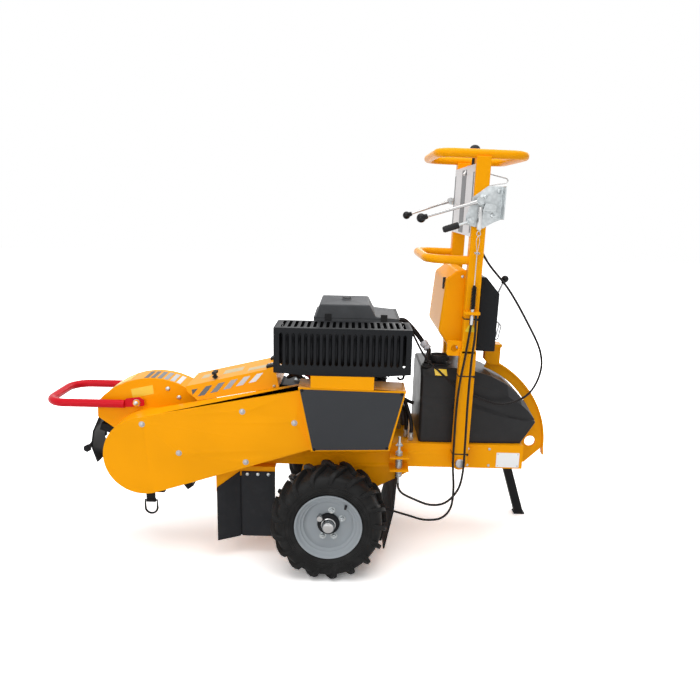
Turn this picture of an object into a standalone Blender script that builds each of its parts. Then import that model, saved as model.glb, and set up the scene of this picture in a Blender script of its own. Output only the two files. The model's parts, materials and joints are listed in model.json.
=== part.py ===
"""Stump grinder: a walk-behind machine with a belt-driven cutting disc and a tilting handle mast.

Frame: +X towards the operator, +Y away from the belt side, +Z up, metres. The pieces are modelled
from the wheel axle (x = 0), with heights fixed to the rails, and the "machine" empty shifts them so
that the origin is the centre of the footprint on the ground. The mast's pieces are modelled upright
from its pivot, and the "mast" empty leans them.
"""
import math

import bmesh
import bpy
from mathutils import Matrix, Vector

# ---------------------------------------------------------------- driving dimensions
GAP = 0.0003                    # clearance between touching pieces
SHEET = 0.004                   # folded steel sheet

TYRE_RADIUS, TYRE_WIDTH = 0.203, 0.156
TYRE_TOP = 0.406                # top of the tyre under the belt case, in the rails' frame
RIM_RADIUS, WHEEL_PLANE, NUT_PITCH = 0.117, 0.310, 0.0354

RAIL_FRONT, RAIL_REAR = -0.36, 0.70
RAIL_OUTER, RAIL_WIDTH = 0.175, 0.040
RAIL_BOTTOM, RAIL_TOP = 0.350, 0.440
MEMBER = 0.006                  # cross members and deck plate
LUG_LEVELS = (0.404, 0.356)     # undersides of the two brake lugs
CARRIER_PLATE, CARRIER_FLANGE = 0.158, 0.006
FLAP_HALF = 0.200

CUTTER_X, CUTTER_Z = -0.660, 0.388
CUTTER_PLANE, CUTTER_RADIUS = -0.065, 0.214
DISC_RADIUS, DISC_THICKNESS, TOOTH_COUNT = 0.175, 0.014, 10
SHAFT_RADIUS = 0.020
HOOD_RADIUS, HOOD_NEAR, HOOD_FAR = 0.262, -0.130, 0.0

CASE_RADIUS, CASE_BACK, CASE_FRONT, COVER_FRONT = 0.141, -0.180, -0.262, -0.272
DRIVE_FRONT = -0.300
CASE_CENTRE = (-0.656, 0.405)
CASE_TOP_END, CASE_BOTTOM_END = (-0.109, 0.657), (-0.068, 0.4445)
DRIVE_CORNERS = [(-0.112, 0.676), (0.255, 0.670), (0.205, 0.455), (-0.066, 0.447)]
CRANK_X, CRANK_Z = 0.060, 0.560
DRIVE_PULLEY_RADIUS, DRIVEN_PULLEY_RADIUS, IDLER_RADIUS = 0.055, 0.070, 0.022
BELT_THICKNESS, BELT_NEAR, BELT_FAR = 0.010, -0.246, -0.206

PIVOT_SETBACK = 0.237           # from the rails' rear end to the mast's pivot
PIVOT_X, PIVOT_Z, MAST_LEAN = RAIL_REAR - PIVOT_SETBACK, 0.387, 1.1
POST_IN, POST_OUT = 0.180, 0.220
POST_HALF, POST_HALF_TOP = 0.028, 0.024
POST_SPLIT, POST_TOP = 0.410, 1.060
LOOP_TUBE = 0.015
LEVER_PIVOT_Z = 0.917
PIN_RADIUS = 0.010

QUADRANT_RADIUS, QUADRANT_BAND, QUADRANT_HALF = 0.360, 0.038, 0.006
TANK_HALF, TANK_ARC = 0.160, QUADRANT_RADIUS - 0.048
SHELF = QUADRANT_RADIUS + 0.028     # underside of the mast's shelf, over the quadrant
TANK_TOP = PIVOT_Z + SHELF - 0.063  # room for the filler cap under the console
FRONT_REACH = 1.058

HANDLE_PIVOT = (-0.710, 0.562)
HANDLE_NEAR, HANDLE_FAR, HANDLE_TUBE = -0.1475, 0.1175, 0.015
CURTAIN_HINGE = (-0.850, 0.508)
LEG_PIVOT = (RAIL_REAR - 0.010, RAIL_BOTTOM + 0.012)
LEG_ANGLE, LEG_WIDTH = 17.5, 0.035
GUARD_X, GUARD_Y, GUARD_Z = (-0.195, 0.268), (-0.300, -0.150), (0.717, 0.880)
LID_SLOPE = 13.5
LID_HINGE = (-0.205, 0.708)
LATCH_PLACE = (-0.425, -0.138)
CABLE_RADIUS = 0.004

AXLE_X = (FRONT_REACH - PIVOT_X - QUADRANT_RADIUS) / 2
AXLE_Z = TYRE_TOP - TYRE_RADIUS
GROUND = AXLE_Z - TYRE_RADIUS

# ---------------------------------------------------------------- finishes: colour, roughness, metallic
YELLOW = ("yellow_paint", (1.0, 0.42, 0.0), 0.35, 0.0)
RED = ("red_paint", (0.72, 0.02, 0.03), 0.3, 0.0)
BLACK = ("black_plastic", (0.02, 0.02, 0.022), 0.5, 0.0)
DARK = ("black_steel", (0.015, 0.015, 0.017), 0.45, 0.3)
RUBBER = ("rubber", (0.018, 0.018, 0.018), 0.75, 0.0)
RIM_GREY = ("rim_paint", (0.45, 0.47, 0.49), 0.4, 0.2)
CHROME = ("chrome", (0.8, 0.8, 0.8), 0.15, 1.0)
ZINC = ("zinc_plate", (0.62, 0.64, 0.66), 0.4, 0.9)
CAST = ("cast_metal", (0.25, 0.25, 0.26), 0.55, 0.6)
SILVER = ("silver_sheet", (0.6, 0.6, 0.61), 0.35, 0.6)


# ---------------------------------------------------------------- modelling helpers
def empty(name, x, y, z, parent=None, lean=0.0):
    """An empty that carries pieces; a joint's empty lies on the joint's axis."""
    obj = bpy.data.objects.new(name, None)
    COLLECTION.objects.link(obj)
    obj.location = (x, y, z)
    obj.rotation_euler.y = math.radians(lean)
    obj.parent = parent
    return obj


def material(finish):
    """The Principled material of a finish, made once."""
    name, colour, roughness, metallic = finish
    found = bpy.data.materials.get(name)
    if found:
        return found
    made = bpy.data.materials.new(name)
    made.use_nodes = True
    shader = made.node_tree.nodes["Principled BSDF"]
    shader.inputs["Base Color"].default_value = (*colour, 1.0)
    shader.inputs["Roughness"].default_value = roughness
    shader.inputs["Metallic"].default_value = metallic
    return made


def solid(name, mesh):
    """A loose object in the collection, with no material yet."""
    obj = bpy.data.objects.new(name, mesh)
    COLLECTION.objects.link(obj)
    return obj


def from_bmesh(name, bm):
    """Turn a bmesh into a loose object."""
    bmesh.ops.recalc_face_normals(bm, faces=bm.faces)
    mesh = bpy.data.meshes.new(name)
    bm.to_mesh(mesh)
    bm.free()
    return solid(name, mesh)


def box(x, y, z, turn=0.0):
    """A box between three pairs of limits, turned about its own centre's Y axis by degrees."""
    size = [b - a for a, b in (x, y, z)]
    centre = [(a + b) / 2 for a, b in (x, y, z)]
    place = Matrix.Translation(centre) @ Matrix.Rotation(math.radians(turn), 4, "Y")
    bm = bmesh.new()
    bmesh.ops.create_cube(bm, size=1.0, matrix=place @ Matrix.Diagonal((*size, 1.0)))
    return from_bmesh("box", bm)


def rod(start, end, radius, sides=16, end_radius=None):
    """A cylinder, or a cone, between two points."""
    a, b = Vector(start), Vector(end)
    turn = (b - a).to_track_quat("Z", "Y").to_matrix().to_4x4()
    bm = bmesh.new()
    bmesh.ops.create_cone(bm, cap_ends=True, segments=sides, radius1=radius,
                          radius2=radius if end_radius is None else end_radius,
                          depth=(b - a).length, matrix=Matrix.Translation((a + b) / 2) @ turn)
    return from_bmesh("rod", bm)


def ball(centre, radius):
    """A sphere."""
    bm = bmesh.new()
    bmesh.ops.create_uvsphere(bm, u_segments=12, v_segments=8, radius=radius,
                              matrix=Matrix.Translation(centre))
    return from_bmesh("ball", bm)


def baked(obj):
    """Replace an object by a loose mesh of its evaluated shape in its own place."""
    graph = bpy.context.evaluated_depsgraph_get()
    graph.update()
    mesh = bpy.data.meshes.new_from_object(obj.evaluated_get(graph))
    mesh.transform(obj.matrix_world)
    bpy.data.objects.remove(obj)
    return solid("baked", mesh)


def turned(profile, centre, axis="Y", steps=32):
    """A turned solid: (radius, along) points that start and end on the axis, or close into a ring."""
    mesh = bpy.data.meshes.new("profile")
    ring = profile[0] == profile[-1]
    points = profile[:-1] if ring else profile
    edges = [(i, i + 1) for i in range(len(points) - 1)]
    if ring:
        edges.append((len(points) - 1, 0))
    mesh.from_pydata([(radius, 0.0, along) for radius, along in points], edges, [])
    obj = solid("turned", mesh)
    screw = obj.modifiers.new("Screw", "SCREW")
    screw.steps = screw.render_steps = steps
    screw.use_merge_vertices = True
    screw.merge_threshold = 0.00005
    screw.use_normal_calculate = True
    turns = {"Z": Matrix.Identity(4),
             "Y": Matrix.Rotation(math.radians(-90), 4, "X"),
             "X": Matrix.Rotation(math.radians(90), 4, "Y")}
    obj.matrix_world = Matrix.Translation(centre) @ turns[axis]
    made = baked(obj)
    bm = bmesh.new()
    bm.from_mesh(made.data)
    bmesh.ops.recalc_face_normals(bm, faces=bm.faces)
    bm.to_mesh(made.data)
    bm.free()
    return made


def circle(x, z, radius, sides=16):
    """Points round a circle."""
    return arc(x, z, radius, 0.0, 360.0 * (sides - 1) / sides, sides - 1)


def arc(x, z, radius, start, end, steps=12):
    """Points along an arc, in degrees."""
    angles = [math.radians(start + (end - start) * i / steps) for i in range(steps + 1)]
    return [(x + radius * math.cos(a), z + radius * math.sin(a)) for a in angles]


def slot(x0, x1, z0, z1):
    """A slot with rounded ends, as points, long in z."""
    r = (x1 - x0) / 2
    return arc(x0 + r, z1 - r, r, 0, 180, 2) + arc(x0 + r, z0 + r, r, 180, 360, 2)


def plate(outline, y, holes=()):
    """A flat plate of an (x, z) outline between two y limits, with holes."""
    curve = bpy.data.curves.new("plate", "CURVE")
    curve.dimensions = "2D"
    curve.fill_mode = "BOTH"
    curve.extrude = (y[1] - y[0]) / 2
    for points in (outline, *holes):
        spline = curve.splines.new("POLY")
        spline.points.add(len(points) - 1)
        for point, (px, pz) in zip(spline.points, points):
            point.co = (px, pz, 0.0, 1.0)
        spline.use_cyclic_u = True
    obj = solid("plate", curve)
    obj.matrix_world = Matrix.Translation((0, sum(y) / 2, 0)) @ Matrix.Rotation(math.radians(90), 4, "X")
    made = baked(obj)
    bm = bmesh.new()
    bm.from_mesh(made.data)
    bmesh.ops.remove_doubles(bm, verts=bm.verts, dist=0.00001)
    bmesh.ops.recalc_face_normals(bm, faces=bm.faces)
    bm.to_mesh(made.data)
    bm.free()
    return made


def slab(outline, z):
    """A flat plate of an (x, y) outline between two z limits."""
    made = plate(outline, (-z[1], -z[0]))
    made.data.transform(Matrix.Rotation(math.radians(-90), 4, "X"))
    return made


def tube(points, radius, cyclic=False, resolution=3):
    """A round tube along points, with capped ends."""
    curve = bpy.data.curves.new("tube", "CURVE")
    curve.dimensions = "3D"
    curve.bevel_depth = radius
    curve.bevel_resolution = resolution
    curve.use_fill_caps = True
    spline = curve.splines.new("POLY")
    spline.points.add(len(points) - 1)
    for point, co in zip(spline.points, points):
        point.co = (*co, 1.0)
    spline.use_cyclic_u = cyclic
    made = baked(solid("tube", curve))
    bm = bmesh.new()
    bm.from_mesh(made.data)
    bmesh.ops.remove_doubles(bm, verts=bm.verts, dist=0.00001)
    bmesh.ops.recalc_face_normals(bm, faces=bm.faces)
    bm.to_mesh(made.data)
    bm.free()
    return made


def combine(first, others, operation):
    """A Boolean of a solid with others, which it uses up."""
    for other in others:
        step = first.modifiers.new("Boolean", "BOOLEAN")
        step.operation = operation
        step.solver = "EXACT"
        step.object = other
    made = baked(first)
    for other in others:
        bpy.data.objects.remove(other)
    return made


def fuse(*pieces):
    """One solid out of overlapping ones."""
    return combine(pieces[0], pieces[1:], "UNION")


def cut(piece, *cutters):
    """A solid with others taken out of it."""
    return combine(piece, cutters, "DIFFERENCE")


def part(name, finish, piece, carrier):
    """Name a finished solid, paint it and hang it on its carrier where it was modelled."""
    piece.name = name
    piece.data.name = name
    piece.data.materials.clear()
    piece.data.materials.append(material(finish))
    frame = carrier
    offset = Vector()
    while frame.name not in ("machine", "mast"):
        offset += frame.location
        frame = frame.parent
    piece.parent = carrier
    piece.location = -offset
    return piece


def mirrored(points):
    """The same (x, z) points read backwards."""
    return list(reversed(points))


def tangent(centre, radius, point, side):
    """The angle, in degrees, where a line from a point touches a circle above (+1) or below (-1)."""
    dx, dz = point[0] - centre[0], point[1] - centre[1]
    base = math.degrees(math.atan2(dz, dx))
    return base + side * math.degrees(math.acos(radius / math.hypot(dx, dz)))


def rounded(corners, radius, steps=4):
    """A closed path with its corners rounded, as 3-D points."""
    path = []
    count = len(corners)
    for i, corner in enumerate(corners):
        here = Vector(corner)
        before = (Vector(corners[i - 1]) - here).normalized()
        after = (Vector(corners[(i + 1) % count]) - here).normalized()
        path += bend(here, before, after, radius, steps)
    return path


def bend(corner, before, after, radius, steps=4):
    """Points round one corner between two unit directions that leave it."""
    half = before.angle(after) / 2
    reach = radius / math.tan(half)
    centre = corner + (before + after).normalized() * (radius / math.sin(half))
    start = (corner + before * reach) - centre
    axis = start.cross((corner + after * reach) - centre).normalized()
    turn = math.pi - 2 * half
    return [centre + Matrix.Rotation(turn * i / steps, 3, axis) @ start for i in range(steps + 1)]


def open_path(corners, radius, steps=4):
    """An open path with its inner corners rounded."""
    path = [Vector(corners[0])]
    for before, corner, after in zip(corners, corners[1:], corners[2:]):
        here = Vector(corner)
        to_before = (Vector(before) - here).normalized()
        to_after = (Vector(after) - here).normalized()
        path += bend(here, to_before, to_after, radius, steps)
    return path + [Vector(corners[-1])]


# ---------------------------------------------------------------- chassis
def make_frame(machine):
    """Rails, cross members, deck, the arm that carries the cutter's far bearing, leg and lug seats."""
    inner = RAIL_OUTER - RAIL_WIDTH
    z = (RAIL_BOTTOM, RAIL_TOP)
    rails = []
    for near, far in ((-RAIL_OUTER, -inner), (inner, RAIL_OUTER)):
        rails.append(cut(box((RAIL_FRONT, RAIL_REAR), (near, far), z),
                         box((RAIL_FRONT - 0.01, RAIL_REAR + 0.01), (near + SHEET, far - SHEET),
                             (RAIL_BOTTOM + SHEET, RAIL_TOP - SHEET))))
    members = [box((x, x + MEMBER), (-inner - SHEET / 2, inner + SHEET / 2), z)
               for x in (RAIL_FRONT, RAIL_REAR - MEMBER)]
    deck = box((RAIL_FRONT, RAIL_REAR), (-inner - SHEET / 2, inner + SHEET / 2),
               (RAIL_TOP - MEMBER, RAIL_TOP))
    arm = box((CUTTER_X - 0.055, RAIL_FRONT + 0.02), (0.030, 0.075), (CUTTER_Z - 0.035, RAIL_TOP))
    leg_x, leg_z = LEG_PIVOT
    leg_stub = rod((leg_x, RAIL_OUTER - SHEET / 2, leg_z), (leg_x, RAIL_OUTER + 0.001, leg_z), 0.011)
    lugs = [box((0.212, 0.280), (-0.245, -RAIL_OUTER + SHEET / 2), (level, level + 0.006))
            for level in LUG_LEVELS]
    pins = []
    for way in (-1, 1):
        for start, end, radius in ((RAIL_OUTER - SHEET / 2, POST_OUT + 0.001, PIN_RADIUS),
                                   (POST_OUT + GAP, POST_OUT + 0.009, 0.016)):
            pins.append(rod((PIVOT_X, way * start, PIVOT_Z), (PIVOT_X, way * end, PIVOT_Z), radius))
    frame = fuse(*rails, *members, deck, arm, leg_stub, *lugs, *pins)
    bores = [rod((CUTTER_X, 0.02, CUTTER_Z), (CUTTER_X, 0.09, CUTTER_Z), SHAFT_RADIUS + 0.004)]
    bores.append(rod((0.245, -0.22, 0.33), (0.245, -0.22, 0.43), 0.0055))
    part("main_frame", YELLOW, cut(frame, *bores), machine)
    preload = turned([(0, 0.305), (0.005, 0.305), (0.005, 0.338), (0.010, 0.338), (0.010, 0.3557),
                      (0.005, 0.3557), (0.005, 0.3623), (0.010, 0.3623), (0.010, 0.4037),
                      (0.005, 0.4037), (0.005, 0.4103), (0.009, 0.4103), (0.009, 0.424),
                      (0.005, 0.424), (0.005, 0.480), (0, 0.480)], (0.245, -0.22, 0), "Z", 12)
    part("brake_spring_rod", ZINC, preload, machine)


def make_axle(machine):
    """The axle carrier under the frame and a wheel motor on each side."""
    low = AXLE_Z - 0.038
    outline = [(-0.10, RAIL_BOTTOM - GAP), (-0.12, AXLE_Z + 0.067), (-0.06, low), (0.06, low),
               (0.18, AXLE_Z + 0.062), (0.285, 0.322), (0.285, RAIL_BOTTOM - GAP)]
    sides = [plate(outline, (side * CARRIER_PLATE - 0.003, side * CARRIER_PLATE + 0.003))
             for side in (-1, 1)]
    flanges = [box((-0.0995, 0.2845), y, (RAIL_BOTTOM - GAP - CARRIER_FLANGE, RAIL_BOTTOM - GAP))
               for y in ((-0.175, -0.150), (0.150, 0.175))]
    beam = rod((0, -0.16, AXLE_Z), (0, 0.16, AXLE_Z), 0.030)
    part("axle_carrier", YELLOW, fuse(*sides, *flanges, beam), machine)
    for side, word in ((-1, "near"), (1, "far")):
        motor = turned([(0, 0.1613), (0.050, 0.1613), (0.050, 0.205), (0.034, 0.215), (0.034, 0.225),
                        (0.016, 0.225), (0.016, 0.300), (0, 0.300)], (0, 0, AXLE_Z), "Y", 20)
        if side < 0:
            motor.data.transform(Matrix.Diagonal((1, -1, 1, 1)))
            motor.data.flip_normals()
        part("wheel_motor_" + word, DARK, motor, machine)


def make_wheels(machine):
    """Each wheel: a tyre, a rim with its hub, and the pin that locks the hub to its motor."""
    half = TYRE_WIDTH / 2
    bead = RIM_RADIUS - 0.006
    wall, shoulder, side = bead + 0.019, TYRE_RADIUS - 0.013, TYRE_RADIUS - 0.038
    tyre = [(bead, -0.058), (wall, -0.072), (side, -half), (shoulder, -0.070), (TYRE_RADIUS, -0.045),
            (TYRE_RADIUS, 0.045), (shoulder, 0.070), (side, half), (wall, 0.072), (bead, 0.058),
            (bead - 0.014, 0.040), (bead - 0.014, -0.040), (bead, -0.058)]
    well = bead - GAP
    rim = [(0.0, 0.074), (0.022, 0.074), (0.024, 0.046), (0.036, 0.044), (0.036, 0.032),
           (0.078, 0.034), (0.090, 0.048), (0.105, 0.062), (RIM_RADIUS, 0.069),
           (RIM_RADIUS, 0.0635), (well, 0.0582), (well - 0.014, 0.040), (well - 0.014, -0.040),
           (well, -0.0582), (RIM_RADIUS, -0.0635), (RIM_RADIUS, -0.069), (0.104, -0.062),
           (0.092, -0.040), (0.088, 0.024), (0.036, 0.024), (0.036, -0.080), (0.0163, -0.080),
           (0.0163, -0.005), (0.0, -0.005)]
    for side, word in ((-1, "near"), (1, "far")):
        spin = empty("spin_wheel_" + word, 0, side * WHEEL_PLANE, AXLE_Z, machine)
        centre = (0, side * WHEEL_PLANE, AXLE_Z)
        for name, finish, profile in (("tyre_", RUBBER, tyre), ("rim_", RIM_GREY, rim)):
            piece = turned([(r, side * y) for r, y in profile], centre, "Y", 28)
            if name == "rim_":
                hole_y = side * WHEEL_PLANE
                piece = cut(piece, rod((-0.030, hole_y + side * 0.018, AXLE_Z + 0.030),
                                       (-0.030, hole_y + side * 0.05, AXLE_Z + 0.030), 0.0063, 12))
                nuts = [rod((x * NUT_PITCH, hole_y + side * 0.030, AXLE_Z + z * NUT_PITCH),
                            (x * NUT_PITCH, hole_y + side * 0.043, AXLE_Z + z * NUT_PITCH), 0.009, 6)
                        for x, z in ((1.31, 0.54), (-0.54, -1.31), (0.54, -1.31), (0.30, 1.39))]
                piece = fuse(piece, *nuts)
            part(name + word, finish, piece, spin)
        push = empty("lock_" + word, 0, 0, 0, spin)
        lock = turned([(0, 0.022), (0.006, 0.022), (0.006, 0.050), (0.010, 0.050), (0.010, 0.066),
                       (0, 0.066)], (-0.030, 0, AXLE_Z + 0.030), "Y", 12)
        if side < 0:
            lock.data.transform(Matrix.Diagonal((1, -1, 1, 1)))
            lock.data.flip_normals()
        lock.data.transform(Matrix.Translation((0, side * WHEEL_PLANE, 0)))
        part("hub_lock_pin_" + word, CHROME, lock, push)


def case_outline(inset=0.0):
    """Outline of the belt case: round the cutter, then out to the drive housing."""
    radius = CASE_RADIUS - inset
    top = (CASE_TOP_END[0], CASE_TOP_END[1] - inset)
    bottom = (CASE_BOTTOM_END[0], CASE_BOTTOM_END[1] + inset)
    start = tangent(CASE_CENTRE, radius, top, 1)
    end = tangent(CASE_CENTRE, radius, bottom, -1) + 360
    shift = ((inset, -inset), (-inset * 1.2, -inset), (-inset * 1.2, inset), (inset, inset))
    corners = [(x + dx, z + dz) for (x, z), (dx, dz) in zip(DRIVE_CORNERS, shift)]
    return arc(*CASE_CENTRE, radius, start, end, 24), top, bottom, corners


def make_belt_case(machine):
    """The belt case, its bolted cover, the drive cover with its panel, pulleys, belt and idler."""
    curve_out, top, bottom, corners = case_outline()
    curve_in, top_in, bottom_in, corners_in = case_outline(SHEET)
    outline = [top] + curve_out + [bottom] + mirrored(corners)
    inside = [top_in] + curve_in + [bottom_in] + mirrored(corners_in)
    idler_x, idler_z = idler_place()
    holes = [circle(CUTTER_X, CUTTER_Z, SHAFT_RADIUS + 0.004), circle(CRANK_X, CRANK_Z, 0.020)]
    back = plate(outline, (CASE_BACK - SHEET, CASE_BACK), holes)
    wall = plate(outline, (CASE_FRONT, CASE_BACK - SHEET / 2), [inside])
    stub = rod((idler_x, BELT_NEAR, idler_z), (idler_x, CASE_BACK - SHEET / 2, idler_z), 0.008)
    part("belt_case", YELLOW, fuse(back, wall, stub), machine)

    face = plate([top] + curve_out + [bottom], (COVER_FRONT, CASE_FRONT - GAP))
    bolts = [rod((x, COVER_FRONT - 0.004, z), (x, COVER_FRONT + 0.002, z), 0.006, 10, 0.009)
             for x, z in ((-0.655, 0.523), (-0.530, 0.420), (-0.306, 0.577), (-0.126, 0.540),
                          (-0.296, 0.392))]
    part("belt_cover", YELLOW, fuse(face, *bolts), machine)

    walls = plate(mirrored(corners), (DRIVE_FRONT, CASE_FRONT - GAP))
    hollow = plate(mirrored(corners_in), (DRIVE_FRONT + SHEET, CASE_FRONT + 0.01))
    ridge = box((-0.070, 0.145), (DRIVE_FRONT + 0.0005, CASE_FRONT - GAP), (0.668, GUARD_Z[0] + 0.001 - GAP))
    part("drive_cover", YELLOW, fuse(cut(walls, hollow), ridge), machine)
    _, _, _, corners_face = case_outline(0.006)
    panel = plate(mirrored(corners_face), (DRIVE_FRONT - 0.003, DRIVE_FRONT - GAP))
    part("side_panel", BLACK, panel, machine)

    drive = empty("spin_drive", CRANK_X, 0, CRANK_Z, machine)
    part("drive_pulley", CAST,
         turned(grooved(DRIVE_PULLEY_RADIUS, -0.1203), (CRANK_X, 0, CRANK_Z), "Y", 32), drive)
    idler = empty("spin_idler", idler_x, 0, idler_z, machine)
    bore = 0.008 + GAP
    part("idler_pulley", CAST,
         turned([(bore, BELT_NEAR), (IDLER_RADIUS, BELT_NEAR), (IDLER_RADIUS, BELT_FAR),
                 (bore, BELT_FAR), (bore, BELT_NEAR)], (idler_x, 0, idler_z), "Y", 24), idler)
    part("drive_belt", RUBBER, make_belt(), machine)


def grooved(radius, shaft_end):
    """Profile of the drive pulley and the stub of crankshaft that carries it."""
    return [(0, BELT_NEAR), (radius, BELT_NEAR), (radius, BELT_FAR), (0.030, BELT_FAR),
            (0.030, -0.196), (0.014, -0.196), (0.014, shaft_end), (0, shaft_end)]


def strand(side):
    """The two points where one straight strand of the belt leaves its pulleys, on the pulleys' rims."""
    dx, dz = CRANK_X - CUTTER_X, CRANK_Z - CUTTER_Z
    span = math.hypot(dx, dz)
    base = math.atan2(dz, dx)
    lift = math.acos((DRIVEN_PULLEY_RADIUS - DRIVE_PULLEY_RADIUS) / span)
    return math.degrees(base + side * lift)


def idler_place():
    """Centre of the idler, which rides on the outside of the upper strand at a share of its length."""
    angle = math.radians(strand(1))
    out = Vector((math.cos(angle), math.sin(angle)))
    start = Vector((CUTTER_X, CUTTER_Z)) + out * DRIVEN_PULLEY_RADIUS
    end = Vector((CRANK_X, CRANK_Z)) + out * DRIVE_PULLEY_RADIUS
    middle = start.lerp(end, 0.62)
    return middle + out * (BELT_THICKNESS + 2 * GAP + IDLER_RADIUS)


def make_belt():
    """The flat ring of the belt round its two pulleys."""
    top, low = strand(1), strand(-1)
    loops = []
    for offset in (GAP + BELT_THICKNESS, GAP):
        loops.append(arc(CUTTER_X, CUTTER_Z, DRIVEN_PULLEY_RADIUS + offset, top, low + 360, 20)
                     + arc(CRANK_X, CRANK_Z, DRIVE_PULLEY_RADIUS + offset, low, top, 16))
    return plate(loops[0], (BELT_NEAR + 0.002, BELT_FAR - 0.002), [loops[1]])


def make_cutter(machine):
    """The toothed disc, its shaft, the far bearing and the driven pulley."""
    spin = empty("spin_cutter", CUTTER_X, 0, CUTTER_Z, machine)
    near, far = CUTTER_PLANE - DISC_THICKNESS / 2, CUTTER_PLANE + DISC_THICKNESS / 2
    disc = plate(circle(CUTTER_X, CUTTER_Z, DISC_RADIUS, 36), (near, far),
                 [circle(CUTTER_X, CUTTER_Z, SHAFT_RADIUS + GAP, 20)])
    holders = []
    for i in range(TOOTH_COUNT):
        side = 1 if i % 2 else -1
        y = (CUTTER_PLANE - 0.042, CUTTER_PLANE + 0.002) if side < 0 else (
            CUTTER_PLANE - 0.002, CUTTER_PLANE + 0.042)
        holder = box((-0.014, 0.014), y, (DISC_RADIUS - 0.030, CUTTER_RADIUS))
        turn = Matrix.Rotation(2 * math.pi * i / TOOTH_COUNT, 4, "Y")
        holder.data.transform(Matrix.Translation((CUTTER_X, 0, CUTTER_Z)) @ turn)
        holders.append(holder)
    part("cutter_disc", DARK, fuse(disc, *holders), spin)
    hub = far + GAP
    shaft = turned([(0, BELT_NEAR - 0.004), (SHAFT_RADIUS, BELT_NEAR - 0.004), (SHAFT_RADIUS, hub),
                    (0.050, hub), (0.050, hub + 0.012), (SHAFT_RADIUS, hub + 0.012),
                    (SHAFT_RADIUS, 0.104), (0, 0.104)], (CUTTER_X, 0, CUTTER_Z), "Y", 20)
    part("cutter_shaft", CAST, shaft, spin)
    bore = SHAFT_RADIUS + GAP
    pulley = turned([(bore, BELT_NEAR), (DRIVEN_PULLEY_RADIUS, BELT_NEAR),
                     (DRIVEN_PULLEY_RADIUS, BELT_FAR), (0.034, BELT_FAR), (0.034, -0.192),
                     (bore, -0.192), (bore, BELT_NEAR)], (CUTTER_X, 0, CUTTER_Z), "Y", 32)
    part("driven_pulley", CAST, pulley, spin)
    bearing = turned([(bore, 0.0753), (0.050, 0.0753), (0.050, 0.086), (0.034, 0.092), (0.034, 0.102),
                      (bore, 0.102), (bore, 0.0753)], (CUTTER_X, 0, CUTTER_Z), "Y", 24)
    part("shaft_bearing", CAST, bearing, machine)


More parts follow.
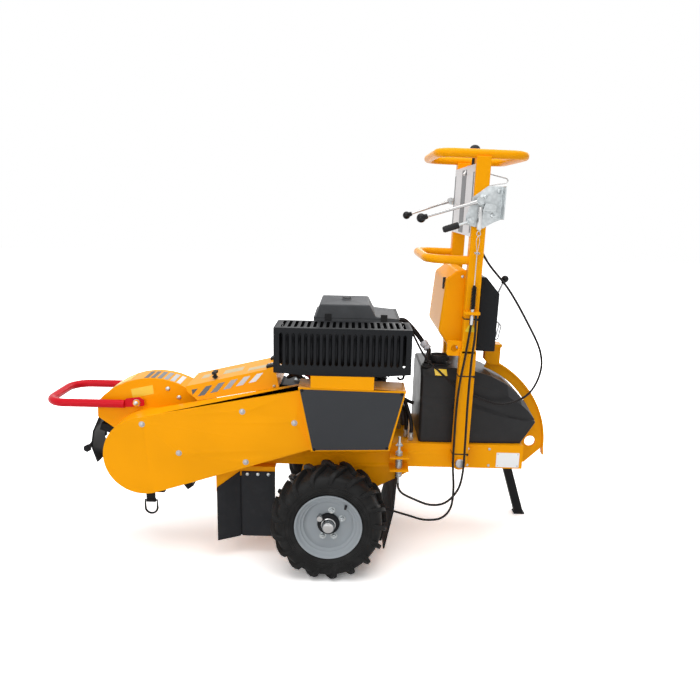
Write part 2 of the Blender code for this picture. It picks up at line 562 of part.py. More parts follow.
def make_hood(machine):
    """The cutter hood with its near spacer, handle studs, and what hangs from it."""
    hx, hz = HANDLE_PIVOT
    back = -0.412
    rim = arc(CUTTER_X, CUTTER_Z, HOOD_RADIUS, 140, 20, 16)
    rim_in = arc(CUTTER_X, CUTTER_Z, HOOD_RADIUS - SHEET, 146, 20, 16)
    side = rim + [(back, 0.360), (-0.500, 0.300), (-0.760, 0.330), (-0.800, 0.455),
                  (CURTAIN_HINGE[0] - 0.012, CURTAIN_HINGE[1] - 0.008)]
    room = rim_in + [(back - SHEET, 0.360), (back - SHEET, 0.20), (-0.95, 0.20), (-0.95, 0.50)]
    bore = rod((CUTTER_X, CASE_BACK - 0.01, CUTTER_Z), (CUTTER_X, HOOD_FAR + 0.01, CUTTER_Z),
               SHAFT_RADIUS + GAP, 24)
    shell = cut(plate(side, (HOOD_NEAR, HOOD_FAR)), plate(room, (HOOD_NEAR + SHEET, HOOD_FAR - SHEET)))
    curve = arc(*CASE_CENTRE, CASE_RADIUS - 0.006, 80, 290, 16)
    ring = curve + [(-0.520, 0.300), (-0.520, 0.500)]
    ring_in = arc(*CASE_CENTRE, CASE_RADIUS - 0.006 - SHEET, 82, 288, 16) + [(-0.524, 0.304), (-0.524, 0.497)]
    spacer = plate(ring, (CASE_BACK + GAP, HOOD_NEAR + SHEET / 2), [mirrored(ring_in)])
    boss = rod((CUTTER_X, CASE_BACK + 0.004, CUTTER_Z), (CUTTER_X, HOOD_NEAR + 0.001, CUTTER_Z), 0.034, 24)
    studs = []
    for wall, arm, way in ((HOOD_NEAR, HANDLE_NEAR, -1), (HOOD_FAR, HANDLE_FAR, 1)):
        reach = arm + way * 0.003
        studs.append(turned([(0, wall - way * 0.003), (0.015, wall - way * 0.003),
                             (0.015, arm - way * 0.0028), (0.007, arm - way * 0.0028),
                             (0.007, reach), (0.012, reach), (0.012, reach + way * 0.008),
                             (0, reach + way * 0.008)], (hx, 0, hz), "Y", 16))
    ledge = box((CUTTER_X + 0.03, RAIL_FRONT - GAP), (HOOD_FAR - 0.002, 0.0297),
                (CUTTER_Z + 0.044, CUTTER_Z + 0.056))
    part("cutter_hood", YELLOW, cut(fuse(shell, spacer, boss, *studs, ledge), bore), machine)

    fold = empty("fold_front_handle", hx, 0, hz, machine)
    front_x = -FRONT_REACH + HANDLE_TUBE
    level = 0.556
    corners = [(hx - 0.040, HANDLE_NEAR, level), (front_x, HANDLE_NEAR, level),
               (front_x, HANDLE_FAR, level), (hx - 0.040, HANDLE_FAR, level)]
    loop = tube(open_path(corners, 0.070, 6), HANDLE_TUBE)
    eyes = []
    for y in (HANDLE_NEAR, HANDLE_FAR):
        shape = [(hx - 0.048, hz - 0.020), (hx + 0.004, hz - 0.013), (hx + 0.026, hz - 0.010),
                 (hx + 0.026, hz + 0.008), (hx + 0.010, hz + 0.020), (hx - 0.036, hz + 0.016)]
        eyes.append(plate(shape, (y - 0.0025, y + 0.0025), [circle(hx, hz, 0.007 + GAP, 12)]))
    part("front_handle", RED, fuse(loop, *eyes), fold)

    swing = empty("swing_curtain", CURTAIN_HINGE[0], 0, CURTAIN_HINGE[1], machine)
    cx, cz = CURTAIN_HINGE
    y = (HOOD_NEAR + SHEET + GAP, HOOD_FAR - SHEET - GAP)
    sheet = plate([(cx - 0.006, cz), (cx, cz - 0.003), (cx - 0.030, cz - 0.070),
                   (cx - 0.040, cz - 0.125), (cx - 0.022, cz - 0.187), (cx - 0.028, cz - 0.189),
                   (cx - 0.047, cz - 0.125), (cx - 0.037, cz - 0.068)], y)
    bar = rod((cx - 0.050, HOOD_NEAR - 0.030, cz - 0.125), (cx - 0.050, HOOD_FAR + 0.022, cz - 0.125),
              0.008, 12)
    nuts = [rod((cx - 0.050, side, cz - 0.125), (cx - 0.050, side + 0.010, cz - 0.125), 0.014, 6)
            for side in (HOOD_NEAR - 0.026, HOOD_FAR + 0.008)]
    hinge = rod((cx - 0.003, y[0] + 0.0002, cz - 0.001), (cx - 0.003, y[1] - 0.0002, cz - 0.001), 0.005, 10)
    part("front_curtain", DARK, fuse(sheet, bar, *nuts, hinge), swing)

    eye_x, eye_z = -0.722, 0.108
    strap = box((eye_x - 0.018, eye_x + 0.018), (GAP, 0.004), (eye_z + 0.006, 0.345))
    eye = cut(rod((eye_x - 0.018, 0.004, eye_z), (eye_x + 0.018, 0.004, eye_z), 0.010),
              rod((eye_x - 0.03, 0.004, eye_z), (eye_x + 0.03, 0.004, eye_z), 0.0045))
    part("tie_strap", BLACK, fuse(strap, eye), machine)
    hang = empty("swing_ring", eye_x, 0.004, eye_z, machine)
    lower = [(eye_x + x, 0.004, eye_z - 0.032 + z) for x, z in arc(0, 0, 0.024, 180, 360, 8)]
    ring = tube([(eye_x + 0.024, 0.004, eye_z), (eye_x - 0.024, 0.004, eye_z)] + lower, 0.004, True, 2)
    part("d_ring", DARK, ring, hang)


def make_flaps(machine):
    """Rubber chip flaps and their hanger beside the near wheel, and the one behind the axle."""
    plane, knee, tip = -0.208, -0.325, (-0.405, -0.250)
    top = RAIL_BOTTOM - GAP
    bottom, overlap = 0.078, 0.018
    rear_end = -0.200
    strip = slab([(rear_end, plane), (knee, plane), tip, (tip[0] - 0.0015, tip[1] + 0.003),
                  (knee - 0.001, plane + 0.003), (rear_end, plane + 0.003)], (top - 0.120, top))
    under = plate([(rear_end + 0.01, 0.20), (rear_end + 0.01, 0.314), (knee, 0.314),
                   (tip[0] - 0.01, 0.262), (tip[0] - 0.01, 0.20)], (-0.30, -0.10))
    curve, _, low, _ = case_outline(-GAP)
    rise = (low[1] - curve[-1][1]) / (low[0] - curve[-1][0])
    edge = [(x, low[1] + (x - low[0]) * rise) for x in (-0.45, -0.15)]
    over = plate(edge + [(-0.15, 0.50), (-0.45, 0.50)], (-0.30, -0.10))
    shelf = box((knee, rear_end), (plane + 0.001, -0.150), (top - 0.004, top - 0.0002))
    part("flap_hanger", YELLOW, fuse(cut(strip, under, over), shelf), machine)
    part("chip_flap_rear", RUBBER,
         box((knee + 0.004, rear_end), (plane - 0.0053, plane - GAP), (bottom, 0.314 + overlap)), machine)
    run = Vector(tip) - Vector((knee, plane))
    sheet = plate([(0.004, bottom), (run.length, bottom), (run.length, 0.266 + overlap),
                   (0.004, 0.314 + overlap)], (GAP, 0.0053))
    sheet.data.transform(Matrix.Translation((knee, plane, 0))
                         @ Matrix.Rotation(math.atan2(run.y, run.x), 4, "Z"))
    part("chip_flap_front", RUBBER, sheet, machine)
    seat = RAIL_BOTTOM - 2 * GAP - CARRIER_FLANGE
    mud = plate([(0.200, 0.030), (0.206, 0.030), (0.236, 0.180), (0.246, seat), (0.240, seat),
                 (0.230, 0.180)], (-FLAP_HALF, FLAP_HALF))
    slits = [box((0.15, 0.30), (side * CARRIER_PLATE - 0.004, side * CARRIER_PLATE + 0.004), (0.20, 0.40))
             for side in (-1, 1)]
    part("mud_flap", RUBBER, cut(mud, *slits), machine)


def make_leg(machine):
    """The parking leg on the far rail, hinged at its top."""
    px, pz = LEG_PIVOT
    fold = empty("fold_leg", px, 0, pz, machine)
    half = LEG_WIDTH / 2
    near = RAIL_OUTER + 0.001 + GAP
    far = near + LEG_WIDTH
    slant = math.radians(LEG_ANGLE)
    down = Vector((math.sin(slant), -math.cos(slant)))
    across = Vector((math.cos(slant), math.sin(slant)))
    length = (pz - GROUND + half * math.sin(slant)) / math.cos(slant)
    corners = [Vector((px, pz)) + down * along + across * way
               for along, way in ((-half, half), (-half, -half), (length, -half), (length, half))]
    for i in (2, 3):
        corners[i] = corners[i] + down * ((corners[i].y - GROUND) / math.cos(slant))
    bar = plate([tuple(c) for c in corners], (near, far))
    foot = box((corners[2].x - 0.006, corners[3].x + 0.004), (near - 0.004, far + 0.004),
               (GROUND, GROUND + 0.005))
    bolt = rod((px, near + 0.0005, pz), (px, far + 0.006, pz), 0.010, 12)
    head = rod((px, far - 0.001, pz), (px, far + 0.007, pz), 0.014, 6)
    part("support_leg", DARK, fuse(bar, foot, bolt, head), fold)


def make_lid(machine):
    """The hinged service lid between the hood and the engine, and its latch."""
    lift = empty("lift_lid", LID_HINGE[0], 0, LID_HINGE[1], machine)
    length = 0.330
    low = [(-0.196, -0.118), (-0.160, 0.0), (0.036, 0.0), (0.040, -0.118)]
    inner = [(-0.196 + SHEET, -0.130), (-0.160 + SHEET, -SHEET), (0.036 - SHEET, -SHEET),
             (0.040 - SHEET, -0.130)]
    turn = Matrix.Rotation(math.radians(90), 4, "Z")
    outer_shell = plate(low, (0.0, length))
    hollow = plate(inner, (SHEET, length - SHEET))
    slope = (Matrix.Translation((LID_HINGE[0], 0, LID_HINGE[1]))
             @ Matrix.Rotation(math.radians(-LID_SLOPE), 4, "Y"))
    for piece in (outer_shell, hollow):
        piece.data.transform(slope @ turn)
    curve, top, _, _ = case_outline(-GAP)
    rise = (top[1] - curve[0][1]) / (top[0] - curve[0][0])
    edge = [(x, top[1] + (x - top[0]) * rise) for x in (-0.15, -0.60)]
    below = plate([(-0.60, 0.30), (-0.15, 0.30)] + edge, (-0.30, 0.30))
    front = plate(arc(CUTTER_X, CUTTER_Z, HOOD_RADIUS + 0.003, 90, -20, 14) + [(-0.66, 0.30)],
                  (-0.30, 0.30))
    part("service_lid", YELLOW, cut(outer_shell, hollow, below, front), lift)
    x, y = LATCH_PLACE
    stem_radius = 0.006
    z = LID_HINGE[1] + (x - LID_HINGE[0] + stem_radius) * math.tan(math.radians(LID_SLOPE)) + GAP
    latch = empty("turn_latch", x - LID_HINGE[0], y, z - LID_HINGE[1], lift)
    stem = rod((x, y, z), (x, y, z + 0.020), stem_radius, 12)
    bar = box((x - 0.009, x + 0.009), (y - 0.019, y + 0.019), (z + 0.018, z + 0.028))
    part("lid_latch", BLACK, fuse(stem, bar), latch)


def make_engine(machine):
    """Engine with its cooling shroud, air filter, muffler and guard, battery and pump."""
    base = RAIL_TOP + GAP
    crankcase = box((-0.080, 0.200), (-0.120, 0.120), (base, 0.640))
    barrels = []
    for lean in (-42, 42):
        fins = [(0, 0.0)]
        for i in range(4):
            along = 0.104 + i * 0.020
            fins += [(0.046, along), (0.060, along), (0.060, along + 0.010), (0.046, along + 0.010)]
        fins += [(0.050, 0.190), (0.050, 0.215), (0, 0.215)]
        barrel = turned(fins, (0, 0, 0), "Z", 14)
        barrel.data.transform(Matrix.Translation((CRANK_X, 0, CRANK_Z))
                              @ Matrix.Rotation(math.radians(lean), 4, "Y"))
        barrels.append(barrel)
    neck = box((CRANK_X - 0.045, CRANK_X + 0.045), (-0.060, 0.060), (0.600, 0.8597))
    part("engine_block", CAST, fuse(crankcase, *barrels, neck), machine)
    shroud = turned([(0, 0.1203), (0.150, 0.1203), (0.150, 0.170), (0.128, 0.192), (0.090, 0.192),
                     (0.084, 0.182), (0, 0.182)], (CRANK_X, 0, 0.600), "Y", 32)
    part("fan_shroud", BLACK, shroud, machine)
    cover = plate([(-0.072, 0.860), (0.238, 0.860), (0.238, 0.884), (0.150, 0.892), (0.128, 0.934),
                   (-0.050, 0.934), (-0.066, 0.890), (-0.072, 0.884)], (-0.115, 0.130))
    dent = rod((0.045, 0.01, 0.930), (0.045, 0.01, 0.944), 0.018, 12)
    part("air_filter_cover", BLACK, fuse(cover, dent), machine)
    gx, gy, gz = GUARD_X, GUARD_Y, GUARD_Z
    muffler = turned([(0, -0.175), (0.055, -0.175), (0.060, -0.165), (0.060, 0.235), (0.055, 0.245),
                      (0.012, 0.245), (0.012, 0.241), (0.052, 0.241), (0.056, 0.233), (0.056, -0.163),
                      (0.052, -0.171), (0, -0.171)], (0, -0.224, 0.795), "X", 24)
    pipe = rod((CRANK_X, -0.180, 0.795), (CRANK_X, -0.0603, 0.795), 0.016, 12)
    part("muffler", DARK, fuse(muffler, pipe), machine)
    pitch = (gx[1] - gx[0] - 0.030) / 21
    slots = [slot(gx[0] + 0.020 + i * pitch, gx[0] + 0.020 + i * pitch + pitch * 0.55,
                  gz[0] + 0.034, gz[1] - 0.016) for i in range(21)]
    wall = 0.002
    shell = cut(box(gx, gy, gz), box((gx[0] + wall, gx[1] - wall), (gy[0] + wall, gy[1] + 0.01),
                                     (gz[0] - 0.01, gz[1] - wall)))
    below = plate([(gx[0] - 0.01, gz[0] + 0.010), (gx[0] - 0.01, gz[0] - 0.02),
                   (gx[1] + 0.01, gz[0] - 0.02), (gx[1] + 0.01, gz[0] + 0.010),
                   (gx[1] - 0.12, gz[0] + 0.001), (gx[0] + 0.12, gz[0] + 0.001)],
                  (gy[0] - 0.01, gy[1] + 0.01))
    face = plate(slots[0], (gy[0] - 0.01, gy[0] + 0.01), slots[1:])
    pitch = (gx[1] - gx[0] - 0.030) / 20
    top_slots = [slot(gx[0] + 0.022 + i * pitch, gx[0] + 0.022 + i * pitch + pitch * 0.5, -0.130, -0.014)
                 for i in range(20)]
    top = plate(top_slots[0], (-0.01, 0.01), top_slots[1:])
    top.data.transform(Matrix.Translation((0, gy[1], gz[1]))
                       @ Matrix.Rotation(math.radians(-90), 4, "X"))
    part("muffler_guard", DARK, cut(shell, below, face, top), machine)
    part("battery", BLACK, box((-0.300, -0.115), (0.000, 0.130), (base, 0.600)), machine)
    part("hydraulic_pump", CAST,
         fuse(box((0.225, 0.290), (0.020, 0.100), (base, 0.520)),
              rod((0.2003 + 0.001, 0.060, 0.490), (0.230, 0.060, 0.490), 0.022)), machine)


def make_tank(machine):
    """Fuel tank behind the engine, its filler cap, and the quadrant that the mast locks to."""
    base = RAIL_TOP + GAP
    dome = arc(PIVOT_X, PIVOT_Z, TANK_ARC, 84, 24, 10)
    outline = ([(0.306, base), (0.302, TANK_TOP - 0.052), (0.335, TANK_TOP), (0.430, TANK_TOP)] + dome
               + [(RAIL_REAR - 0.008, base)])
    tank = plate(mirrored(outline), (-TANK_HALF, TANK_HALF))
    channel = plate(arc(PIVOT_X, PIVOT_Z, TANK_ARC + 0.02, 100, -30, 20)
                    + arc(PIVOT_X, PIVOT_Z, QUADRANT_RADIUS - QUADRANT_BAND - 0.004, -30, 100, 20),
                    (-0.010, 0.010))
    cap_x, cap_y, seat = 0.392, -0.045, TANK_TOP
    neck = rod((cap_x, cap_y, seat - 0.004), (cap_x, cap_y, seat + 0.012), 0.030, 20)
    part("fuel_tank", BLACK, fuse(cut(tank, channel), neck), machine)
    twist = empty("twist_cap", cap_x, cap_y, seat, machine)
    cap = turned([(0, 0.0123), (0.040, 0.0123), (0.040, 0.028), (0.036, 0.034), (0.012, 0.034),
                  (0.012, 0.038), (0, 0.038)], (cap_x, cap_y, seat), "Z", 24)
    part("filler_cap", BLACK, cap, twist)

    inner = QUADRANT_RADIUS - QUADRANT_BAND
    foot_x = RAIL_REAR + GAP
    hole_x = (RAIL_REAR + PIVOT_X + QUADRANT_RADIUS + 0.017) / 2
    corner = (RAIL_REAR + 0.051, 0.308)
    outline = (arc(PIVOT_X, PIVOT_Z, QUADRANT_RADIUS - 0.003, -2, 70, 19)
               + arc(PIVOT_X, PIVOT_Z, inner, 70, 25, 12)
               + [(foot_x, 0.432), (foot_x, 0.358), corner])
    web = plate(outline, (-QUADRANT_HALF, QUADRANT_HALF), [circle(hole_x, 0.397, 0.021, 16)])
    rim_width = 0.014
    lip_x, lip_z = PIVOT_X + QUADRANT_RADIUS + 0.003, PIVOT_Z - 0.043
    rim = plate([(lip_x - 0.006, lip_z), (lip_x, lip_z)]
                + arc(PIVOT_X, PIVOT_Z, QUADRANT_RADIUS, -2, 70, 19)
                + arc(PIVOT_X, PIVOT_Z, QUADRANT_RADIUS - 0.006, 70, -2, 19),
                (-rim_width, rim_width))
    foot = box((foot_x, foot_x + 0.006), (-0.050, 0.050), (0.358, 0.432))
    part("quadrant_plate", YELLOW, fuse(web, rim, foot), machine)


# ---------------------------------------------------------------- mast, in its own upright frame
def make_mast(mast):
    """Posts, loops, webs, brackets and the shelf under the control box."""
    posts = []
    for near, far in ((-POST_OUT, -POST_IN), (POST_IN, POST_OUT)):
        posts.append(box((-POST_HALF, POST_HALF), (near, far), (0.0, POST_SPLIT)))
        posts.append(rod((0, near, 0), (0, far, 0), POST_HALF, 20))
        posts.append(box((-POST_HALF_TOP, POST_HALF_TOP), (near, far), (POST_SPLIT - 0.01, POST_TOP)))
    left, right, side, level = -0.1435, 0.1485, 0.200, 1.068
    upper = tube(rounded([(left, -side, level), (right, -side, level), (right, side, level),
                          (left, side, level)], 0.060), LOOP_TUBE, True, 2)
    lower = tube(open_path([(0.0, -side, 0.720), (-0.162, -side, 0.720), (-0.162, side, 0.720),
                            (0.0, side, 0.720)], 0.070), LOOP_TUBE, False, 2)
    web = box((-0.015, -0.010), (-POST_IN - 0.004, POST_IN + 0.004), (SHELF - 0.003, SHELF + 0.276))
    shelf = box((-0.012, 0.160), (-0.030, 0.030), (SHELF, SHELF + 0.012))
    spacers = [box((-0.012, 0.0357), (y - 0.015, y + 0.015), (SHELF + 0.162, SHELF + 0.212))
               for y in (-0.10, 0.10)]
    cheeks = [box((0.100, 0.158), y, (SHELF - 0.070, SHELF + 0.004))
              for y in ((-0.0200, -0.0150), (0.0150, 0.0200))]
    head = box((-0.022, 0.022), (-POST_IN - 0.004, POST_IN + 0.004), (1.028, 1.036))
    lug = plate([(-0.074, SHELF), (-0.020, SHELF), (-0.020, SHELF + 0.054), (-0.074, SHELF + 0.054)],
                (-0.205, -0.199), [circle(-0.048, SHELF + 0.028, 0.012, 12)])
    ledge = box((-0.030, 0.026), (-0.246, -POST_OUT + 0.004), (0.540, 0.550))
    arm = box((-0.050, 0.020), (POST_OUT - 0.004, POST_OUT + 0.005),
              (LEVER_PIVOT_Z - 0.014, LEVER_PIVOT_Z + 0.014))
    stud = rod((-0.036, POST_OUT, LEVER_PIVOT_Z), (-0.036, POST_OUT + 0.020, LEVER_PIVOT_Z), 0.006, 12)
    frame = fuse(*posts, upper, lower, web, shelf, *spacers, *cheeks, head, lug, ledge, arm, stud)
    bores = [rod((0, side * 0.17, 0), (0, side * 0.23, 0), PIN_RADIUS + GAP) for side in (-1, 1)]
    bores.append(rod((0.128, 0, SHELF - 0.008), (0.128, 0, SHELF + 0.022), 0.0053))
    bores.append(rod((0.005, 0, 1.02), (0.005, 0, 1.04), 0.0085))
    bores.append(rod((-0.002, -0.236, 0.53), (-0.002, -0.236, 0.56), 0.0073, 12))
    part("mast_frame", YELLOW, cut(frame, *bores), mast)

    console = plate([(x, SHELF + z) for x, z in
                     ((-0.0153, 0.0), (-0.0153, 0.297), (-0.050, 0.292), (-0.086, 0.262),
                      (-0.100, 0.077), (-0.045, 0.0))], (-0.158, 0.158))
    room = plate([(x, SHELF + z) for x, z in
                  ((0.010, 0.008), (0.010, 0.267), (-0.047, 0.285), (-0.081, 0.259),
                   (-0.095, 0.079), (-0.043, 0.008))], (-0.158 + SHEET, 0.158 - SHEET))
    part("console", YELLOW, cut(console, room), mast)
    seat = SHELF + 0.012 + GAP
    control = plate([(0.036, seat), (0.036, SHELF + 0.274), (0.052, SHELF + 0.274),
                     (0.1020, SHELF + 0.218), (0.1020, seat)], (-0.165, 0.165))
    clevis = [box((0.098, 0.128), y, (SHELF + 0.150, SHELF + 0.170))
              for y in ((-0.0150, -0.0110), (0.0110, 0.0150))]
    part("control_box", BLACK, fuse(control, *clevis), mast)
    panel = box((-0.0243 - 0.002, -0.0243), (-0.212, 0.212), (0.800, 1.035))
    part("instrument_panel", SILVER, panel, mast)


def make_levers(mast):
    """Control levers, grip lever, tilt lock and stop button, each on its own axis."""
    pivot_z, tip = LEVER_PIVOT_Z, (-0.1955, 0.8546)
    post_near = -POST_OUT - GAP
    grip_u, grip_w = -0.034, 0.850
    bracket = plate([(-0.046, 0.838), (0.012, 0.828), (0.048, 0.850), (0.072, 0.860), (0.072, 0.966),
                     (0.020, 0.966), (-0.026, 0.930), (-0.046, 0.866)], (post_near - 0.004, post_near))
    flange = box((0.068, 0.072), (-0.262, post_near - 0.001), (0.860, 0.966))
    studs = [rod((x, -0.256, z), (x, post_near - 0.001, z), 0.006, 12)
             for x, z in ((-0.0066, pivot_z), (grip_u, grip_w))]
    part("lever_bracket", ZINC, fuse(bracket, flange, *studs), mast)
    for word, px, y in (("near", -0.0066, -0.246), ("far", -0.036, 0.233)):
        hinge = empty("tilt_lever_" + word, px, y, pivot_z, mast)
        reach = Vector((tip[0] if word == "near" else tip[0] - 0.010, y, tip[1]))
        start = Vector((px, y, pivot_z))
        way = (reach - start).normalized()
        eye = turned([(0.0063, -0.005), (0.013, -0.005), (0.013, 0.005), (0.0063, 0.005),
                      (0.0063, -0.005)], start, "Y", 16)
        bar = rod(start + way * 0.011, reach, 0.005, 10)
        part("control_lever_" + word, CHROME, fuse(eye, bar, ball(reach, 0.0155)), hinge)
    grip_axis = empty("tilt_grip", grip_u, -0.246, grip_w, mast)
    eye = turned([(0.0063, -0.004), (0.011, -0.004), (0.011, 0.004), (0.0063, 0.004), (0.0063, -0.004)],
                 (grip_u, -0.246, grip_w), "Y", 16)
    blade = rod((grip_u - 0.009, -0.246, grip_w - 0.003), (-0.076, -0.246, 0.835), 0.004, 8)
    grip = rod((-0.072, -0.246, 0.8365), (-0.122, -0.246, 0.819), 0.011, 12)
    part("grip_lever", BLACK, fuse(eye, blade, grip), grip_axis)
    spring = turned([(0, 0.506), (0.007, 0.506), (0.007, 0.556), (0.009, 0.560), (0.009, 0.632),
                     (0.003, 0.636), (0.003, 0.740), (0.010, 0.744), (0.010, 0.754), (0.003, 0.758),
                     (0.003, 0.812), (0.0080, 0.818), (0.0080, 0.8990), (0, 0.8990)],
                    (-0.002, -0.236, 0), "Z", 12)
    part("lever_spring_rod", CHROME, spring, mast)

    hub, knob = (0.118, 0, SHELF + 0.160), (0.154, 0, SHELF + 0.254)
    lock = empty("tilt_lock", *hub, mast)
    eye = turned([(0, -0.0107), (0.007, -0.0107), (0.007, 0.0107), (0, 0.0107)], hub, "Y", 12)
    part("tilt_lock_lever", CHROME, fuse(eye, rod(hub, knob, 0.004, 10), ball(knob, 0.0135)), lock)
    slide = empty("lock_slide", 0.128, 0, QUADRANT_RADIUS - 0.010, mast)
    seat = math.sqrt(QUADRANT_RADIUS ** 2 - 0.128 ** 2) + 0.0035
    collar = SHELF + 0.012 + GAP
    plunger = turned([(0, seat), (0.005, seat), (0.005, collar), (0.009, collar), (0.009, collar + 0.0497),
                      (0.005, collar + 0.0517), (0.005, collar + 0.1197), (0, collar + 0.1197)],
                     (0.128, 0, 0), "Z", 12)
    part("lock_plunger", CHROME, plunger, slide)
    press = empty("press_stop", 0.005, 0, 1.06, mast)
    knob = turned([(0, 1.020), (0.008, 1.020), (0.008, 1.072), (0.022, 1.072), (0.022, 1.092),
                   (0.014, 1.109), (0, 1.113)], (0.005, 0, 0), "Z", 20)
    part("stop_button", BLACK, knob, press)


def make_cables(machine):
    """Free cables between the mast and the chassis, at their real length."""
    panel_back = (0.4568, -0.080, 1.200)
    long = [panel_back, (0.490, -0.080, 1.180), (0.545, -0.090, 1.090), (0.620, -0.110, 1.000),
            (0.686, -0.140, 0.890), (0.736, -0.155, 0.790), (0.740, -0.165, 0.710),
            (0.700, -0.173, 0.633), (0.620, -0.176, 0.597), (0.540, -0.173, 0.611),
            (0.445, -0.171, 0.657), (0.380, -0.168, 0.710), (0.325, -0.148, 0.765),
            (0.275, -0.105, 0.850),
            (0.2400, -0.095, 0.870)]
    part("throttle_cable", BLACK, tube(smooth(long), CABLE_RADIUS, False, 1), machine)
    near = -0.236
    front = [(0.4707, near, 0.8925), (0.457, near, 0.780), (0.444, near, 0.686), (0.438, near, 0.590),
             (0.4365, near, 0.480), (0.4370, near, 0.385), (0.4440, near, 0.295),
             (0.438, near, 0.220), (0.405, near, 0.178), (0.345, near, 0.170),
             (0.285, -0.230, 0.183), (0.220, -0.219, 0.197), (0.170, -0.211, 0.207),
             (0.110, -0.200, 0.216), (0.0545, -0.185, 0.220)]
    part("brake_cable_front", BLACK, tube(smooth(front), CABLE_RADIUS, False, 1), machine)
    outer = near - 0.010
    rear = [(0.4854, near, 0.9252), (0.484, outer, 0.850), (0.478, outer, 0.770),
            (0.474, outer, 0.620), (0.474, outer, 0.460), (0.472, outer, 0.360),
            (0.457, outer, 0.292), (0.415, outer, 0.243), (0.360, outer, 0.234),
            (0.300, -0.243, 0.254), (0.262, -0.230, 0.268), (0.2475, -0.2215, 0.284),
            (0.245, -0.220, 0.3039)]
    part("brake_cable_rear", BLACK, tube(smooth(rear), CABLE_RADIUS, False, 1), machine)
    loom = [(0.2384, -0.050, 0.872), (0.262, -0.050, 0.868), (0.300, -0.050, 0.830),
            (0.335, -0.050, 0.785), (0.352, -0.060, 0.765), (0.345, -0.095, 0.745),
            (0.3385, -0.110, 0.7255)]
    part("wiring_loom", BLACK, tube(smooth(loom), 0.009, False, 2), machine)


def smooth(points, steps=3):
    """A Catmull-Rom path through the points."""
    knots = [Vector(p) for p in points]
    knots = [knots[0] * 2 - knots[1]] + knots + [knots[-1] * 2 - knots[-2]]
    path = []
    for a, b, c, d in zip(knots, knots[1:], knots[2:], knots[3:]):
        for i in range(steps):
            t = i / steps
            path.append(0.5 * ((2 * b) + (c - a) * t + (2 * a - 5 * b + 4 * c - d) * t * t
                               + (3 * b - a - 3 * c + d) * t ** 3))
    return path + [knots[-2]]


def main():
    """Build the whole machine."""
    machine = empty("machine", AXLE_X, 0, -GROUND)
    mast = empty("mast", PIVOT_X, 0, PIVOT_Z, machine, MAST_LEAN)
    make_frame(machine)
    make_axle(machine)
    make_wheels(machine)
    make_belt_case(machine)
    make_cutter(machine)
    make_hood(machine)
    make_flaps(machine)
    make_leg(machine)
    make_lid(machine)
    make_engine(machine)
    make_tank(machine)
    make_mast(mast)
    make_levers(mast)
    make_cables(machine)


for old in list(bpy.data.objects):
    bpy.data.objects.remove(old)
COLLECTION = bpy.data.collections.new("stump_grinder")
bpy.context.scene.collection.children.link(COLLECTION)
main()
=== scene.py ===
"""Looks of a walk-behind stump grinder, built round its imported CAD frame.

Each sub-assembly is a class with its sizes as fields. The part stands on the ground with +X towards
the operator, +Y away from the belt side and +Z up, in metres.
"""
from __future__ import annotations

import json
import logging
import math
from dataclasses import dataclass, field
from enum import Enum
from typing import Iterable, Sequence

import bmesh
import bpy
from mathutils import Matrix, Vector

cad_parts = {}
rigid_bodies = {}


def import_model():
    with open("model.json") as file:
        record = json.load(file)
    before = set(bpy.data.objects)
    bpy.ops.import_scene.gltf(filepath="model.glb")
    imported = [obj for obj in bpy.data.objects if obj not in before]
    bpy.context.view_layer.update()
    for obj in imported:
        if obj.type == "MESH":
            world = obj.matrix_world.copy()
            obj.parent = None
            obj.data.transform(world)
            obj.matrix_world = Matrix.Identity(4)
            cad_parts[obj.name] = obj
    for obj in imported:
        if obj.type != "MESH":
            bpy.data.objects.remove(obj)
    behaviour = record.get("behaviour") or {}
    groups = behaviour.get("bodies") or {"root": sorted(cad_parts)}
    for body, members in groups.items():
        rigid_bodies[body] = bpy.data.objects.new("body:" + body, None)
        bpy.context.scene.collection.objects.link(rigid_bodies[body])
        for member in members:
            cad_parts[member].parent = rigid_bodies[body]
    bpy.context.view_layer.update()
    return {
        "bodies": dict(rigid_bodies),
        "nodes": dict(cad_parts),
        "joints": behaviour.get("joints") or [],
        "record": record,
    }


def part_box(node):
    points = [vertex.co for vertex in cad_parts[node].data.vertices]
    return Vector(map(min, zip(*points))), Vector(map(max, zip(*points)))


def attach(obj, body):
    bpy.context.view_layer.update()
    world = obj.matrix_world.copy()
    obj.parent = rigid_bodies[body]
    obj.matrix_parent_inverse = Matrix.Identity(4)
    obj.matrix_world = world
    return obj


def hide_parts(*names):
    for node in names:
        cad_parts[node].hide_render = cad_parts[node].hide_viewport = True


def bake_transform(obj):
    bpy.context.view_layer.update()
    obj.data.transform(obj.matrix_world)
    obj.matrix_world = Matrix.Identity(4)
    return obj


LOG = logging.getLogger("stump_grinder")
WELD = 1e-5  # metres between corners that become one
FLAT = 0.4  # degrees between triangles that become one face
FILM_THICK = 0.0006  # metres
ON_AXIS = 1e-6  # metres from a turned form's axis that count as on it
CRISP = 8.0  # degrees by which an edge must pass the rounding angle to stay sharp
ROUND_STOCK = 50.0  # shading angle, in degrees, of rod, tube and balls
WIRE = 60.0  # shading angle of thin coiled or cable stock
BELT_SIDE = (0, -1, 0)  # out of the belt side
Colour = tuple[float, float, float]
Point = Sequence[float]
Flat = tuple[float, float]


